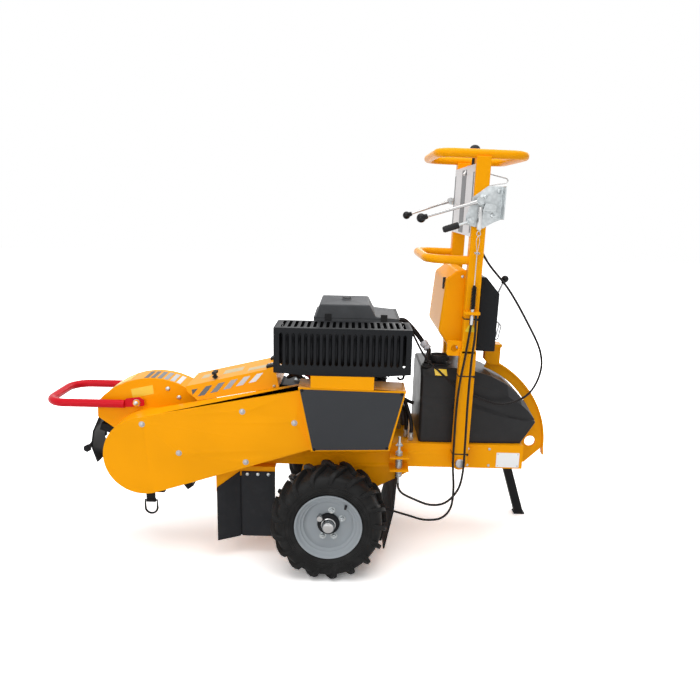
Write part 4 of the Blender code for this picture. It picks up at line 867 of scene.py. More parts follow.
# ---------------------------------------------------------------- studio
@dataclass
class Studio:
    """Camera, pale floor, soft lamps and white surroundings."""

    lens: float = 34.0
    sensor: float = 36.0
    eye: Point = (0.1785, -2.451, 1.2865)
    pitch: float = 12.5
    roll: float = 1.3
    fill: float = 0.42
    clear_from: float = 1.1
    clear_to: float = 2.4
    glow_near: float = 0.06
    glow_rise: float = 0.9
    matt_lit: float = 0.86
    matt_seen: float = 0.72
    half: float = 14.0
    slab: float = 0.02
    lamps: tuple[tuple[str, Point, float, float, float], ...] = (
        ("overhead_softbox", (0.0, -0.6, 4.2), 0.3, 4.2, 125.0),
        ("front_softbox", (-1.6, -4.2, 2.4), 0.6, 3.0, 62.0),
        ("rear_softbox", (1.8, 3.4, 2.8), 0.6, 3.0, 52.0))

    def build(self) -> None:
        """Make the whole studio."""
        self.camera()
        self.floor()
        self.world()
        for name, place, height, size, power in self.lamps:
            self.lamp(name, place, (0.0, 0.0, height), size, power)

    def camera(self) -> None:
        """A view from the belt side, slightly down, with the horizon a little off level."""
        data = bpy.data.cameras.new("view")
        data.lens = self.lens
        data.sensor_width = self.sensor
        pitch, roll = math.radians(self.pitch), math.radians(self.roll)
        ahead = Vector((0, math.cos(pitch), -math.sin(pitch)))
        across, up = Vector((1, 0, 0)), Vector((0, math.sin(pitch), math.cos(pitch)))
        right = across * math.cos(roll) + up * math.sin(roll)
        above = up * math.cos(roll) - across * math.sin(roll)
        view = bpy.data.objects.new("view", data)
        bpy.context.scene.collection.objects.link(view)
        view.matrix_world = (Matrix.Translation(self.eye)
                             @ Matrix((right, above, -ahead)).transposed().to_4x4())
        bpy.context.scene.camera = view

    def floor(self) -> None:
        """A pale floor that shows white to the lens and to mirrors, and keeps the soft shadow."""
        graph = Graph("pale_floor")
        seen = graph.node("ShaderNodeLightPath", out="Is Camera Ray")
        glossy = Value(graph, seen.socket.node.outputs["Is Glossy Ray"])
        away = graph.node("ShaderNodeVectorMath", {"operation": "LENGTH"}, {0: graph.place()},
                          "Value")
        far = away.ramp(self.clear_from, self.clear_to)
        glow = graph.node("ShaderNodeEmission", None, {
            "Color": (1.0, 1.0, 1.0),
            "Strength": seen.largest(glossy) * (far * self.glow_rise + self.glow_near)})
        shade = seen * self.matt_seen + self.matt_lit
        matt = graph.node("ShaderNodeBsdfDiffuse", None, {"Color": shade})
        both = graph.node("ShaderNodeAddShader", None, {0: matt, 1: glow})
        graph.feed(graph.tree.nodes["Material Output"].inputs["Surface"], both)
        obj = Shape().box((-self.half, -self.half, -self.slab),
                          (self.half, self.half, 0.0)).loose("floor")
        obj.data.materials.append(graph.material)

    def world(self) -> None:
        """White surroundings for the lens and mirrors, and a dimmer even fill for the light."""
        world = bpy.data.worlds.new("surroundings")
        world.use_nodes = True
        tree = world.node_tree
        path = tree.nodes.new("ShaderNodeLightPath")
        seen = tree.nodes.new("ShaderNodeMath")
        seen.operation = "MAXIMUM"
        tree.links.new(path.outputs["Is Camera Ray"], seen.inputs[0])
        tree.links.new(path.outputs["Is Glossy Ray"], seen.inputs[1])
        power = tree.nodes.new("ShaderNodeMapRange")
        power.inputs["To Min"].default_value = self.fill
        power.inputs["To Max"].default_value = 1.0
        tree.links.new(seen.outputs[0], power.inputs["Value"])
        tree.nodes["Background"].inputs["Color"].default_value = (1.0, 1.0, 1.0, 1.0)
        tree.links.new(power.outputs[0], tree.nodes["Background"].inputs["Strength"])
        bpy.context.scene.world = world

    def lamp(self, name: str, place: Point, aim: Point, size: float, power: float) -> None:
        """Hang a square softbox aimed at a point."""
        data = bpy.data.lights.new(name, "AREA")
        data.shape = "SQUARE"
        data.size = size
        data.energy = power
        lamp = bpy.data.objects.new(name, data)
        bpy.context.scene.collection.objects.link(lamp)
        lamp.matrix_world = Matrix.Translation(place) @ turn_to(Vector(place) - Vector(aim))


# ---------------------------------------------------------------- cables
@dataclass
class Cables(Assembly):
    """Bowden cables between mast and chassis, and the wiring loom between engine and tank."""

    radius: float = 0.004
    loom_radius: float = 0.009
    throttle: tuple[Point, ...] = (
        (0.4568, -0.080, 1.200), (0.490, -0.080, 1.180), (0.545, -0.090, 1.090),
        (0.620, -0.110, 1.000), (0.686, -0.140, 0.890), (0.736, -0.155, 0.790),
        (0.740, -0.165, 0.710), (0.700, -0.173, 0.633), (0.620, -0.176, 0.597),
        (0.540, -0.173, 0.611), (0.445, -0.171, 0.657), (0.380, -0.168, 0.710),
        (0.325, -0.148, 0.765), (0.275, -0.105, 0.850), (0.2400, -0.095, 0.870))
    front_brake: tuple[Point, ...] = (
        (0.4707, -0.236, 0.8925), (0.457, -0.236, 0.780), (0.444, -0.236, 0.686),
        (0.438, -0.236, 0.590), (0.4365, -0.236, 0.480), (0.4370, -0.236, 0.385),
        (0.4440, -0.236, 0.295), (0.438, -0.236, 0.220), (0.405, -0.236, 0.178),
        (0.345, -0.236, 0.170), (0.285, -0.230, 0.183), (0.220, -0.219, 0.197),
        (0.170, -0.211, 0.207), (0.110, -0.200, 0.216), (0.0545, -0.185, 0.220))
    rear_brake: tuple[Point, ...] = (
        (0.4854, -0.236, 0.9252), (0.484, -0.246, 0.850), (0.478, -0.246, 0.770),
        (0.474, -0.246, 0.620), (0.474, -0.246, 0.460), (0.472, -0.246, 0.360),
        (0.457, -0.246, 0.292), (0.415, -0.246, 0.243), (0.360, -0.246, 0.234),
        (0.300, -0.243, 0.254), (0.262, -0.230, 0.268), (0.2475, -0.2215, 0.284),
        (0.245, -0.220, 0.3039))
    loom: tuple[Point, ...] = (
        (0.2384, -0.050, 0.872), (0.262, -0.050, 0.868), (0.300, -0.050, 0.830),
        (0.335, -0.050, 0.785), (0.352, -0.060, 0.765), (0.345, -0.095, 0.745),
        (0.3385, -0.110, 0.7255))

    def build(self) -> None:
        """Lay every cable."""
        self.lay("throttle_cable", self.throttle, self.radius, (0.60, 0.60), (0.80, 0.80))
        self.lay("brake_cable_front", self.front_brake, self.radius, (0.42, 0.29), (0.42, 0.46))
        self.lay("brake_cable_rear", self.rear_brake, self.radius, (0.46, 0.30), (0.46, 0.46))
        self.lay("wiring_loom", self.loom, self.loom_radius)

    def lay(self, node: str, points: Sequence[Point], radius: float, low: Flat | None = None,
            high: Flat | None = None) -> None:
        """Args:
            node: The CAD node that it replaces.
            points: Its route from the wheel axle.
            radius: Half its thickness.
            low: Given only for a cable that crosses to the mast, which is then left where it lies
                and rides on no body; its place is not used.
            high: Given with low for such a cable; its place is not used.
        """
        path = [self.site.at(*p) for p in smooth(points, 8)]
        obj = Shape().tube(path, radius, 14).loose(node + "_run")
        dress(obj, CABLE_SHEATH, angle=WIRE)
        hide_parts(node)
        if low and high:
            tuple(self.site.at(low[0], 0, low[1]))
            tuple(self.site.at(high[0], 0, high[1]))
            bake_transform(obj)
        else:
            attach(obj, Body.CHASSIS.value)
        LOG.info("laid %s", node)


# ---------------------------------------------------------------- wheels
@dataclass
class Wheel(Assembly):
    """One wheel: lugged tyre, stepped steel rim, hub cap, nuts and the hub lock."""

    word: str
    side: int
    body: Body
    lock: Body
    plane: float = 0.310
    axle_z: float = 0.203
    nut_pitch: float = 0.0354
    lugs: int = 17

    def out(self, x: float, y: float, z: float) -> Vector:
        """A point from the wheel's centre, y outwards."""
        return Vector((x, self.side * (self.plane + y), self.axle_z + z))

    def build(self) -> None:
        """Make the wheel."""
        self.tyre()
        self.rim()
        self.hub()

    def tyre(self) -> None:
        """Carcass with sidewall rings, and a row of chevron lugs on each shoulder."""
        way = (0, self.side, 0)
        half = [(0.0, 0.1865), (0.030, 0.1862), (0.050, 0.1845), (0.063, 0.180), (0.0715, 0.171),
                (0.0740, 0.158), (0.0728, 0.142), (0.0700, 0.128), (0.0640, 0.1195),
                (0.0582, 0.1112), (0.0402, 0.0972)]
        loop = [(r, y) for y, r in half] + [(r, -y) for y, r in reversed(half[1:])]
        shape = self.shape().lathe(loop, self.out(0, 0, 0), way, 96)
        for radius, y in ((0.1305, 0.0712), (0.1365, 0.0725), (0.1480, 0.0742)):
            for flip in (-1, 1):
                shape.lathe([(radius - 0.0014, flip * (y - 0.002)), (radius, flip * (y + 0.0010)),
                             (radius + 0.0014, flip * (y - 0.002))], self.out(0, 0, 0), way, 72)
        stations = ((-0.007, 0.2020, 0.182, 0.0, 0.0078), (0.020, 0.2028, 0.182, 3.6, 0.0080),
                    (0.044, 0.2015, 0.178, 7.4, 0.0088), (0.0640, 0.1960, 0.170, 10.8, 0.0096),
                    (0.0755, 0.1850, 0.163, 13.2, 0.0098), (0.0778, 0.1700, 0.156, 14.6, 0.0086),
                    (0.0756, 0.1560, 0.149, 15.0, 0.0062))
        for flip in (-1, 1):
            for i in range(self.lugs):
                start = 360.0 / self.lugs * (i + (0.5 if flip > 0 else 0.0))
                rings = []
                for y, top, base, turn, wide in stations:
                    at = math.radians(start + turn)
                    inner_y = y if y < 0.06 else y - 0.008
                    ring = []
                    for radius, depth, share in ((base, inner_y, -1.0), (top, y, -0.78),
                                                 (top, y, 0.78), (base, inner_y, 1.0)):
                        angle = at + wide * share / radius
                        ring.append(self.out(radius * math.cos(angle), flip * depth,
                                             radius * math.sin(angle)))
                    rings.append(ring)
                shape.loft(rings)
        shape.piece(f"tyre_{self.word}_tread", TYRE_RUBBER, self.body, 0.0013, 2, 38,
                    replaces=["tyre_" + self.word])

    def rim(self) -> None:
        """Pressed rim with a stepped dish, and the hub tube behind it."""
        profile = [(0.0, 0.033), (0.072, 0.033), (0.0775, 0.034), (0.0820, 0.0375),
                   (0.0850, 0.0425), (0.0875, 0.0465), (0.0925, 0.0480), (0.0955, 0.0505),
                   (0.0975, 0.0545), (0.1030, 0.0565), (0.1065, 0.0605), (0.1090, 0.0655),
                   (0.1125, 0.0682), (0.1155, 0.0690), (0.1170, 0.0678), (0.1170, 0.0640),
                   (0.1107, 0.0582), (0.0967, 0.0402), (0.0967, -0.0402), (0.1107, -0.0582),
                   (0.1170, -0.0635), (0.1170, -0.0690), (0.1040, -0.0620), (0.0920, -0.0400),
                   (0.0880, 0.0240), (0.0360, 0.0240), (0.0360, -0.0800), (0.0163, -0.0800),
                   (0.0163, -0.0050), (0.0, -0.0050)]
        shape = self.shape().lathe(profile, self.out(0, 0, 0), (0, self.side, 0), 96)
        shape.piece(f"rim_{self.word}_pressing", RIM_PAINT, self.body, 0.0007, 2, 40,
                    replaces=["rim_" + self.word])
        valve = self.shape()
        valve.rod(self.out(0.060, 0.049, 0.076), self.out(0.057, 0.071, 0.072), 0.0052, 0.0042)
        valve.rod(self.out(0.062, 0.044, 0.079), self.out(0.060, 0.049, 0.076), 0.0075, 0.0052)
        valve.piece(f"tyre_valve_{self.word}", BLACK_PLASTIC, self.body, 0.0006)

    def hub(self) -> None:
        """Black hub ring, bright cap, four wheel nuts on washers and the lock pin."""
        way = (0, self.side, 0)
        ring = self.shape()
        ring.lathe([(0.0, 0.031), (0.0385, 0.031), (0.0385, 0.040), (0.0360, 0.0435),
                    (0.0265, 0.0450), (0.0, 0.0450)], self.out(0, 0, 0), way, 48)
        ring.piece(f"hub_ring_{self.word}", BLACK_PAINT, self.body, 0.0006)
        cap = self.shape()
        cap.lathe([(0.0, 0.043), (0.0255, 0.043), (0.0255, 0.050), (0.0225, 0.052), (0.0215, 0.066),
                   (0.0185, 0.0715), (0.0120, 0.0735), (0.0070, 0.0740), (0.0, 0.0740)],
                  self.out(0, 0, 0), way, 48)
        cap.piece(f"hub_cap_{self.word}", CHROME, self.body, 0.0005)
        nuts = self.shape()
        for x, z in ((1.31, 0.54), (-0.54, -1.31), (0.54, -1.31), (0.30, 1.39)):
            place = self.out(x * self.nut_pitch, 0.0325, z * self.nut_pitch)
            nuts.nut(place, way, 0.0092, 0.0125, 0.004)
        nuts.piece(f"wheel_nuts_{self.word}", ZINC, self.body, 0.0006)
        pin = self.shape()
        foot = self.out(-0.030, 0.0, 0.030)
        pin.lathe([(0, 0.022), (0.006, 0.022), (0.006, 0.050), (0.0095, 0.0505), (0.0102, 0.053),
                   (0.0086, 0.0555), (0.0086, 0.0605), (0.0102, 0.063), (0.0092, 0.0658),
                   (0, 0.066)], foot, way, 32)
        pin.piece(f"hub_lock_{self.word}_knob", CHROME, self.lock, 0.0003,
                  replaces=["hub_lock_pin_" + self.word])


# ---------------------------------------------------------------- belt drive
@dataclass
class BeltDrive(Assembly):
    """Belt case, bolted cover, drive cover with its woven panel, and what turns inside."""

    cover_front: float = -0.272
    drive_front: float = -0.300
    bolts: tuple[Flat, ...] = ((-0.655, 0.523), (-0.530, 0.420), (-0.306, 0.577), (-0.126, 0.540),
                               (-0.296, 0.392))
    panel_bolts: tuple[Flat, ...] = ((-0.098, 0.666), (0.240, 0.660), (0.196, 0.466),
                                     (-0.055, 0.456))

    def build(self) -> None:
        """Dress the case and its covers, add their bolts, and coat the works."""
        site = self.site
        site.eased("belt_case", YELLOW, Body.CHASSIS, 0.0012)
        site.eased("belt_cover", YELLOW, Body.CHASSIS, 0.0018)
        site.eased("drive_cover", YELLOW, Body.CHASSIS, 0.0016)
        site.eased("side_panel", WEAVE, Body.CHASSIS, 0.0007)
        heads = self.shape()
        y = self.cover_front
        for x, z in self.bolts:
            heads.rod((x, y + 0.001, z), (x, y - 0.0012, z), 0.0105, sides=32)
            heads.dome((x, y - 0.0012, z), BELT_SIDE, 0.0078, 0.0040)
            heads.rod((x, y - 0.0048, z), (x, y - 0.0062, z), 0.0040, sides=6)
        heads.piece("cover_bolts", STEEL, Body.CHASSIS, 0.0004)
        self.heads("panel_rivets", BLACK_PAINT,
                   [(x, self.drive_front - 0.0025, z) for x, z in self.panel_bolts],
                   BELT_SIDE, (0.0055, 0.003), bevel=0.0003)
        coat(site.frame, STEEL, "drive_pulley", "driven_pulley", "idler_pulley", "cutter_shaft")
        coat(site.frame, BELT_RUBBER, "drive_belt")
        site.eased("shaft_bearing", CAST, Body.CHASSIS, 0.0010)
        site.eased("cutter_disc", BLACK_PAINT, Body.CUTTER, 0.0012)
        self.teeth()

    def teeth(self) -> None:
        """Carbide tips bolted in the tooth holders round the disc."""
        shape = self.shape()
        for i in range(10):
            side = 1 if i % 2 else -1
            turn = Matrix.Rotation(2 * math.pi * i / 10, 4, "Y")
            middle = Vector((-0.660, 0, 0.388))
            y = -0.065 + side * 0.022
            for low, high, radius in (((-0.0155, y, 0.196), (-0.0135, y, 0.196), 0.0115),
                                      ((0.0130, y, 0.184), (0.0165, y, 0.184), 0.0070)):
                ends = [middle + turn @ Vector(p) for p in (low, high)]
                shape.rod(ends[0], ends[1], radius, sides=24 if radius > 0.01 else 6)
        shape.piece("cutter_tips", STEEL, Body.CUTTER, 0.0004)


# ---------------------------------------------------------------- hood and what hangs from it
@dataclass
class Hood(Assembly):
    """Cutter hood, front handle, curtain, tie strap with its ring, and the rubber flaps."""

    cutter: Flat = (-0.660, 0.388)
    radius: float = 0.262
    near: float = -0.130
    far: float = 0.0
    pivot: Flat = (-0.710, 0.562)
    arms: Flat = (-0.1475, 0.1175)
    tube: float = 0.015
    reach: float = 1.058

    def build(self) -> None:
        """Make everything at the cutter's end."""
        self.site.eased("cutter_hood", YELLOW, Body.CHASSIS, 0.0012)
        self.trim()
        self.handle()
        self.curtain()
        self.strap()
        self.flaps()

    def on_rim(self, angle: float, y: float, lift: float = 0.0) -> Vector:
        """A point on the hood's curved top."""
        turn = math.radians(angle)
        return Vector((self.cutter[0] + (self.radius + lift) * math.cos(turn), y,
                       self.cutter[1] + (self.radius + lift) * math.sin(turn)))

    def wrap(self, start: float, end: float, low: float, high: float,
             thick: float = FILM_THICK) -> Shape:
        """A thin film laid on the hood's curved top."""
        steps = max(2, round(abs(end - start) / 3))
        rings = []
        for i in range(steps + 1):
            angle = start + (end - start) * i / steps
            rings.append([self.on_rim(angle, low), self.on_rim(angle, high),
                          self.on_rim(angle, high, thick), self.on_rim(angle, low, thick)])
        return self.shape().loft(rings)

    def trim(self) -> None:
        """Graded film blocks and blank labels on the hood."""
        for i, finish in enumerate(STRIPES):
            start = 96.0 - i * 5.2
            film = self.wrap(start, start - 3.4, -0.122, -0.030)
            film.piece(f"hood_film_{i}", finish, Body.CHASSIS)
        self.wrap(128.0, 108.0, -0.112, -0.020).piece("hood_label", YELLOW_FILM, Body.CHASSIS)
        label = self.shape()
        label.prism([(-0.735, 0.607), (-0.655, 0.625), (-0.652, 0.592), (-0.730, 0.572)],
                    self.near - FILM_THICK, self.near)
        label.piece("hood_side_label", YELLOW_FILM, Body.CHASSIS)
        self.heads("hood_bolts", ZINC, [(-0.560, self.near, 0.580), (-0.600, self.near, 0.612)],
                   BELT_SIDE, (0.0085, 0.0045), bevel=0.0003)

    def handle(self) -> None:
        """Red tubular lifting handle with its flat brackets and pivot bolts."""
        px, pz = self.pivot
        front, level = -self.reach + self.tube, 0.556
        near, far = self.arms
        line = rounded([(px - 0.044, near, level), (front, near, level), (front, far, level),
                        (px - 0.044, far, level)], 0.070, 14, False)
        shape = self.shape().tube(line, self.tube, 28)
        for y in self.arms:
            shape.prism(rounded([(px - 0.052, pz - 0.019), (px + 0.004, pz - 0.014),
                                 (px + 0.027, pz - 0.012), (px + 0.027, pz + 0.010),
                                 (px + 0.008, pz + 0.021), (px - 0.040, pz + 0.014)], 0.006, 5),
                        y - 0.0025, y + 0.0025)
        shape.piece("front_handle_loop", RED, Body.HANDLE, 0.0009, replaces=["front_handle"])
        bolts = self.shape()
        for y, way in ((near, -1), (far, 1)):
            bolts.rod((px, y + way * 0.0026, pz), (px, y + way * 0.0042, pz), 0.0135, sides=32)
            bolts.dome((px, y + way * 0.0042, pz), (0, way, 0), 0.0118, 0.0092)
        bolts.piece("handle_pivot_bolts", ZINC, Body.CHASSIS, 0.0004)

    def curtain(self) -> None:
        """Front rubber curtain with its weight bar and nuts."""
        self.site.eased("front_curtain", BLACK_PAINT, Body.CURTAIN, 0.0009)

    def strap(self) -> None:
        """Webbing strap sewn round a D ring."""
        x, z, y = -0.722, 0.108, 0.004
        shape = self.shape()
        for low, high in ((0.0004, 0.0019), (0.0022, 0.0038)):
            shape.box((x - 0.018, low, z + 0.008), (x + 0.018, high, 0.340))
        shape.lathe([(0.0050, -0.018), (0.0078, -0.018), (0.0078, 0.018), (0.0050, 0.018)],
                    (x, y, z), (1, 0, 0), 24)
        for seam in (0.030, 0.036, 0.060, 0.066):
            shape.box((x - 0.015, -0.0002, z + seam), (x + 0.015, 0.0042, z + seam + 0.0012))
        shape.piece("tie_strap_webbing", STRAP, Body.CHASSIS, 0.0004, replaces=["tie_strap"])
        lower = [(x + a, y, z - 0.032 + b) for a, b in arc(0, 0, 0.024, 180, 360, 20)]
        line = [(x + 0.024, y, z), (x - 0.024, y, z), *lower]
        ring = self.shape().tube(line, 0.004, 16, True)
        ring.piece("d_ring_wire", BLACK_PAINT, Body.RING, angle=ROUND_STOCK, replaces=["d_ring"])

    def flaps(self) -> None:
        """Chip flaps on their folded hanger with a row of bolts, and the flap behind the axle."""
        site = self.site
        site.eased("flap_hanger", YELLOW, Body.CHASSIS, 0.0008)
        for node in ("chip_flap_rear", "chip_flap_front", "mud_flap"):
            site.eased(node, FLAP_RUBBER, Body.CHASSIS, 0.0012)
        self.heads("flap_bolts", ZINC, [(x, -0.2135, 0.322) for x in (-0.300, -0.262, -0.224)],
                   BELT_SIDE, (0.0068, 0.004), bevel=0.0003)
        seam = self.shape()
        seam.box((-0.3290, -0.2078, 0.0790), (-0.3150, -0.2055, 0.3300))
        seam.piece("flap_seam", FLAP_RUBBER, Body.CHASSIS, 0.0004)


# ---------------------------------------------------------------- service lid
@dataclass
class Lid(Assembly):
    """Sloping service lid with its graded film stripes, blank labels, hinges and latch."""

    hinge: Flat = (-0.205, 0.708)
    slope: float = 13.5
    edge: float = 0.160
    flare: float = 0.036 / 0.118
    film: float = 0.0005
    hinges: Flat = (0.125, -0.002)
    labels: tuple[tuple[float, float, float, float], ...] = (
        (0.065, 0.100, 0.085, 0.045), (0.170, 0.060, 0.075, 0.060), (0.275, 0.060, 0.030, 0.055))

    def frame(self) -> Matrix:
        """The lid's own frame: x forwards down the slope, y across, z up from its top face."""
        fall = math.radians(self.slope)
        ahead = Vector((-math.cos(fall), 0, -math.sin(fall)))
        up = Vector((-math.sin(fall), 0, math.cos(fall)))
        across = up.cross(ahead)
        turn = Matrix((ahead, across, up)).transposed().to_4x4()
        return self.site.machine() @ Matrix.Translation((self.hinge[0], 0, self.hinge[1])) @ turn

    def build(self) -> None:
        """Make the lid's shell, films, hinges and latch."""
        self.site.eased("service_lid", YELLOW, Body.LID, 0.0022)
        self.stripes()
        for i, (s, y, long, wide) in enumerate(self.labels):
            plate = Shape(self.frame()).box((s - long / 2, y - wide / 2, 0.0),
                                            (s + long / 2, y + wide / 2, self.film))
            plate.piece(f"lid_label_{i}", STRAW_FILM, Body.LID)
        hinges, bolts = Shape(self.frame()), Shape(self.frame())
        for y in self.hinges:
            hinges.box((-0.004, y - 0.018, -0.001), (0.034, y + 0.018, 0.009))
            hinges.rod((-0.001, y - 0.020, 0.006), (-0.001, y + 0.020, 0.006), 0.0065)
            for s in (0.014, 0.025):
                bolts.dome((s, y - 0.007, 0.009), (0, 0, 1), 0.0042, 0.0025)
        bolts.dome((0.016, 0.1793, -0.0620), (0, 1, -0.3), 0.0062, 0.0035)
        hinges.piece("lid_hinges", BLACK_PLASTIC, Body.LID, 0.0015)
        bolts.piece("lid_bolts", ZINC, Body.LID, 0.0003)
        self.latch()

    def stripes(self) -> None:
        """Graded film stripes on the near flank, growing towards the hinge."""
        last = len(STRIPES) - 1
        for i, finish in enumerate(STRIPES):
            foot = 0.105 + 0.0475 * (last - i)
            high, low = -0.0085 - 0.0014 * (last - i), -0.0330 - 0.0022 * (last - i)
            corners = [(foot, low), (foot - 0.0270, low), (foot - 0.0600, high),
                       (foot - 0.0360, high)]
            if i == 0:
                corners = [(0.312, high - 0.018), (0.312, high), (0.289, high)]
            rings = [[(s, self.edge + lift - self.flare * b, b) for s, b in corners]
                     for lift in (-0.0001, 0.0006)]
            Shape(self.frame()).loft(rings).piece(f"lid_stripe_{i}", finish, Body.LID)

    def latch(self) -> None:
        """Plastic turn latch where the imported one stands."""
        low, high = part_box("lid_latch")
        x, y = (low.x + high.x) / 2, (low.y + high.y) / 2
        latch = Shape()
        latch.rod((x, y, low.z), (x, y, high.z - 0.008), 0.0060)
        latch.lathe([(0, 0), (0.0105, 0), (0.0095, 0.006), (0, 0.006)], (x, y, low.z + 0.004))
        outline = rounded([(x - 0.009, low.y), (x + 0.009, low.y), (x + 0.006, y),
                           (x + 0.009, high.y), (x - 0.009, high.y), (x - 0.006, y)], 0.004, 4)
        latch.prism(outline, high.z - 0.010, high.z, Plane.XY)
        latch.piece("lid_latch_knob", BLACK_PLASTIC, Body.LATCH, 0.0012, replaces=["lid_latch"])


# ---------------------------------------------------------------- engine
@dataclass
class Engine(Assembly):
    """Twin-cylinder engine with its covers, ribbed muffler, battery and pump."""

    crank: Flat = (0.060, 0.560)
    muffler: Flat = (-0.224, 0.795)
    rings: int = 19
    deck: float = 0.440
    hoses: tuple[tuple[Point, ...], ...] = (
        ((0.276, -0.105, 0.468), (0.277, -0.106, 0.510), (0.268, -0.095, 0.545),
         (0.250, -0.060, 0.552), (0.205, -0.040, 0.548), (0.190, -0.035, 0.548)),
        ((0.292, -0.142, 0.468), (0.293, -0.142, 0.492), (0.286, -0.130, 0.528),
         (0.262, -0.100, 0.590), (0.230, -0.080, 0.612), (0.195, -0.075, 0.614)),
        ((0.257, -0.012, 0.516), (0.258, -0.014, 0.540), (0.272, -0.030, 0.562),
         (0.290, -0.050, 0.560), (0.306, -0.056, 0.556)))
    leads: tuple[tuple[Point, ...], ...] = (
        ((-0.140, 0.065, 0.614), (-0.120, 0.040, 0.640), (-0.100, -0.060, 0.665),
         (-0.075, -0.100, 0.650)),
        ((-0.160, -0.060, 0.655), (-0.130, -0.070, 0.690), (-0.095, -0.080, 0.680),
         (-0.075, -0.085, 0.700)),
        ((-0.170, -0.030, 0.640), (-0.135, -0.090, 0.665), (-0.100, -0.110, 0.650),
         (-0.070, -0.112, 0.640)))
    starter: tuple[Point, ...] = (
        (-0.275, 0.065, 0.614), (-0.230, 0.000, 0.655), (-0.180, -0.080, 0.680),
        (-0.140, -0.105, 0.690), (-0.095, -0.110, 0.672), (-0.072, -0.110, 0.660))
    hook: tuple[Point, ...] = (
        (0.232, -0.150, 0.708), (0.246, -0.150, 0.708), (0.256, -0.150, 0.694),
        (0.254, -0.150, 0.676), (0.242, -0.150, 0.672), (0.234, -0.150, 0.680))

    def build(self) -> None:
        """Dress the engine and add what is bolted to it."""
        site = self.site
        site.eased("engine_block", ALLOY, Body.CHASSIS, 0.0012)
        site.eased("fan_shroud", BLACK_PLASTIC, Body.CHASSIS, 0.0020)
        site.eased("air_filter_cover", COVER_PLASTIC, Body.CHASSIS, 0.0050)
        site.eased("muffler_guard", BLACK_PAINT, Body.CHASSIS, 0.0006, merge=False)
        site.eased("battery", BLACK_PLASTIC, Body.CHASSIS, 0.0040)
        site.eased("hydraulic_pump", CAST, Body.CHASSIS, 0.0020)
        self.silencer()
        self.painted_shade_plates()
        self.cover_details()
        self.grille()
        self.terminals()
        self.plumbing()

    def silencer(self) -> None:
        """Ribbed muffler drum with its outlet."""
        y, z = self.muffler
        pitch = 0.395 / self.rings
        line: list[Flat] = [(0.0, -0.175), (0.055, -0.175), (0.0625, -0.165)]
        for i in range(self.rings):
            start = -0.160 + i * pitch
            line += [(0.0630, start), (0.0685, start + pitch * 0.22),
                     (0.0685, start + pitch * 0.52), (0.0630, start + pitch * 0.74)]
        line += [(0.0625, 0.236), (0.055, 0.245), (0.014, 0.245), (0.014, 0.230), (0.0, 0.230)]
        shape = self.shape().lathe(line, (0, y, z), (1, 0, 0), 48)
        shape.rod((self.crank[0], -0.180, z), (self.crank[0], -0.0603, z), 0.016)
        shape.piece("muffler_drum", BLACK_PAINT, Body.CHASSIS, 0.0008, angle=40,
                    replaces=["muffler"])

    def painted_shade_plates(self) -> None:
        """Dark plates inside the guard, on either side of the muffler and behind it: painted shade,
        dark sheets that stand in for the shadowed inside of the guard seen through its slots.
        """
        # painted shade: these black sheets fill the guard's dark inside, where there is only shade
        shape = self.shape()
        for low, high in ((-0.192, -0.178), (0.248, 0.265)):
            shape.box((low, -0.158, 0.722), (high, -0.155, 0.876))
        shape.box((-0.190, -0.296, 0.722), (-0.1885, -0.155, 0.876))
        shape.box((-0.178, -0.1535, 0.722), (0.248, -0.1515, 0.877))
        shape.piece("guard_baffles", BLACK_PAINT, Body.CHASSIS, 0.0004)

    def cover_details(self) -> None:
        """Knob, seam and side clips of the air filter cover."""
        shape = self.shape()
        shape.lathe([(0.0125, 0.0), (0.0165, 0.0), (0.0165, 0.0016), (0.0125, 0.0016)],
                    (0.045, 0.010, 0.9424), steps=40)
        shape.box((-0.0726, -0.1156, 0.8835), (0.2386, 0.1306, 0.8850))
        for x in (-0.020, 0.180):
            shape.box((x - 0.012, -0.1175, 0.866), (x + 0.012, -0.1148, 0.900))
        shape.piece("air_cover_trim", BLACK_PLASTIC, Body.CHASSIS, 0.0004)

    def grille(self) -> None:
        """Recoil starter's guard rings and spokes on the far side."""
        x, z = self.crank[0], 0.600
        shape = self.shape()
        for radius in (0.030, 0.046, 0.062, 0.078):
            shape.lathe([(radius - 0.003, 0.0), (radius + 0.003, 0.0), (radius + 0.002, 0.0045),
                         (radius - 0.002, 0.0045)], (x, 0.1815, z), (0, 1, 0), 48)
        shape.lathe([(0, 0), (0.022, 0), (0.020, 0.007), (0, 0.007)], (x, 0.1815, z), (0, 1, 0), 40)
        for i in range(12):
            turn = Matrix.Rotation(math.radians(30 * i), 4, "Y")
            ends = [Vector((x, 0.1835, z)) + turn @ Vector((r, 0, 0)) for r in (0.020, 0.080)]
            shape.rod(ends[0], ends[1], 0.0022, sides=8)
        for i in range(6):
            turn = Matrix.Rotation(math.radians(60 * i + 30), 4, "Y")
            foot = Vector((x, 0.170, z)) + turn @ Vector((0.139, 0.0, 0))
            shape.dome(foot, (0, 1, 0), 0.007, 0.005)
        shape.piece("starter_grille", BLACK_PAINT, Body.CHASSIS, 0.0004)

    def terminals(self) -> None:
        """Battery posts with their caps and a strap over the case."""
        shape = self.shape()
        for x in (-0.275, -0.140):
            shape.box((x - 0.014, 0.050, 0.5995), (x + 0.014, 0.080, 0.6080))
            shape.rod((x, 0.065, 0.608), (x, 0.065, 0.616), 0.006)
        shape.piece("battery_posts", ZINC, Body.CHASSIS, 0.0006)
        strap = self.shape()
        strap.box((-0.218, -0.0016, self.deck + 0.0005), (-0.196, 0.1316, 0.6020))
        strap.piece("battery_strap", STRAP, Body.CHASSIS, 0.0008)

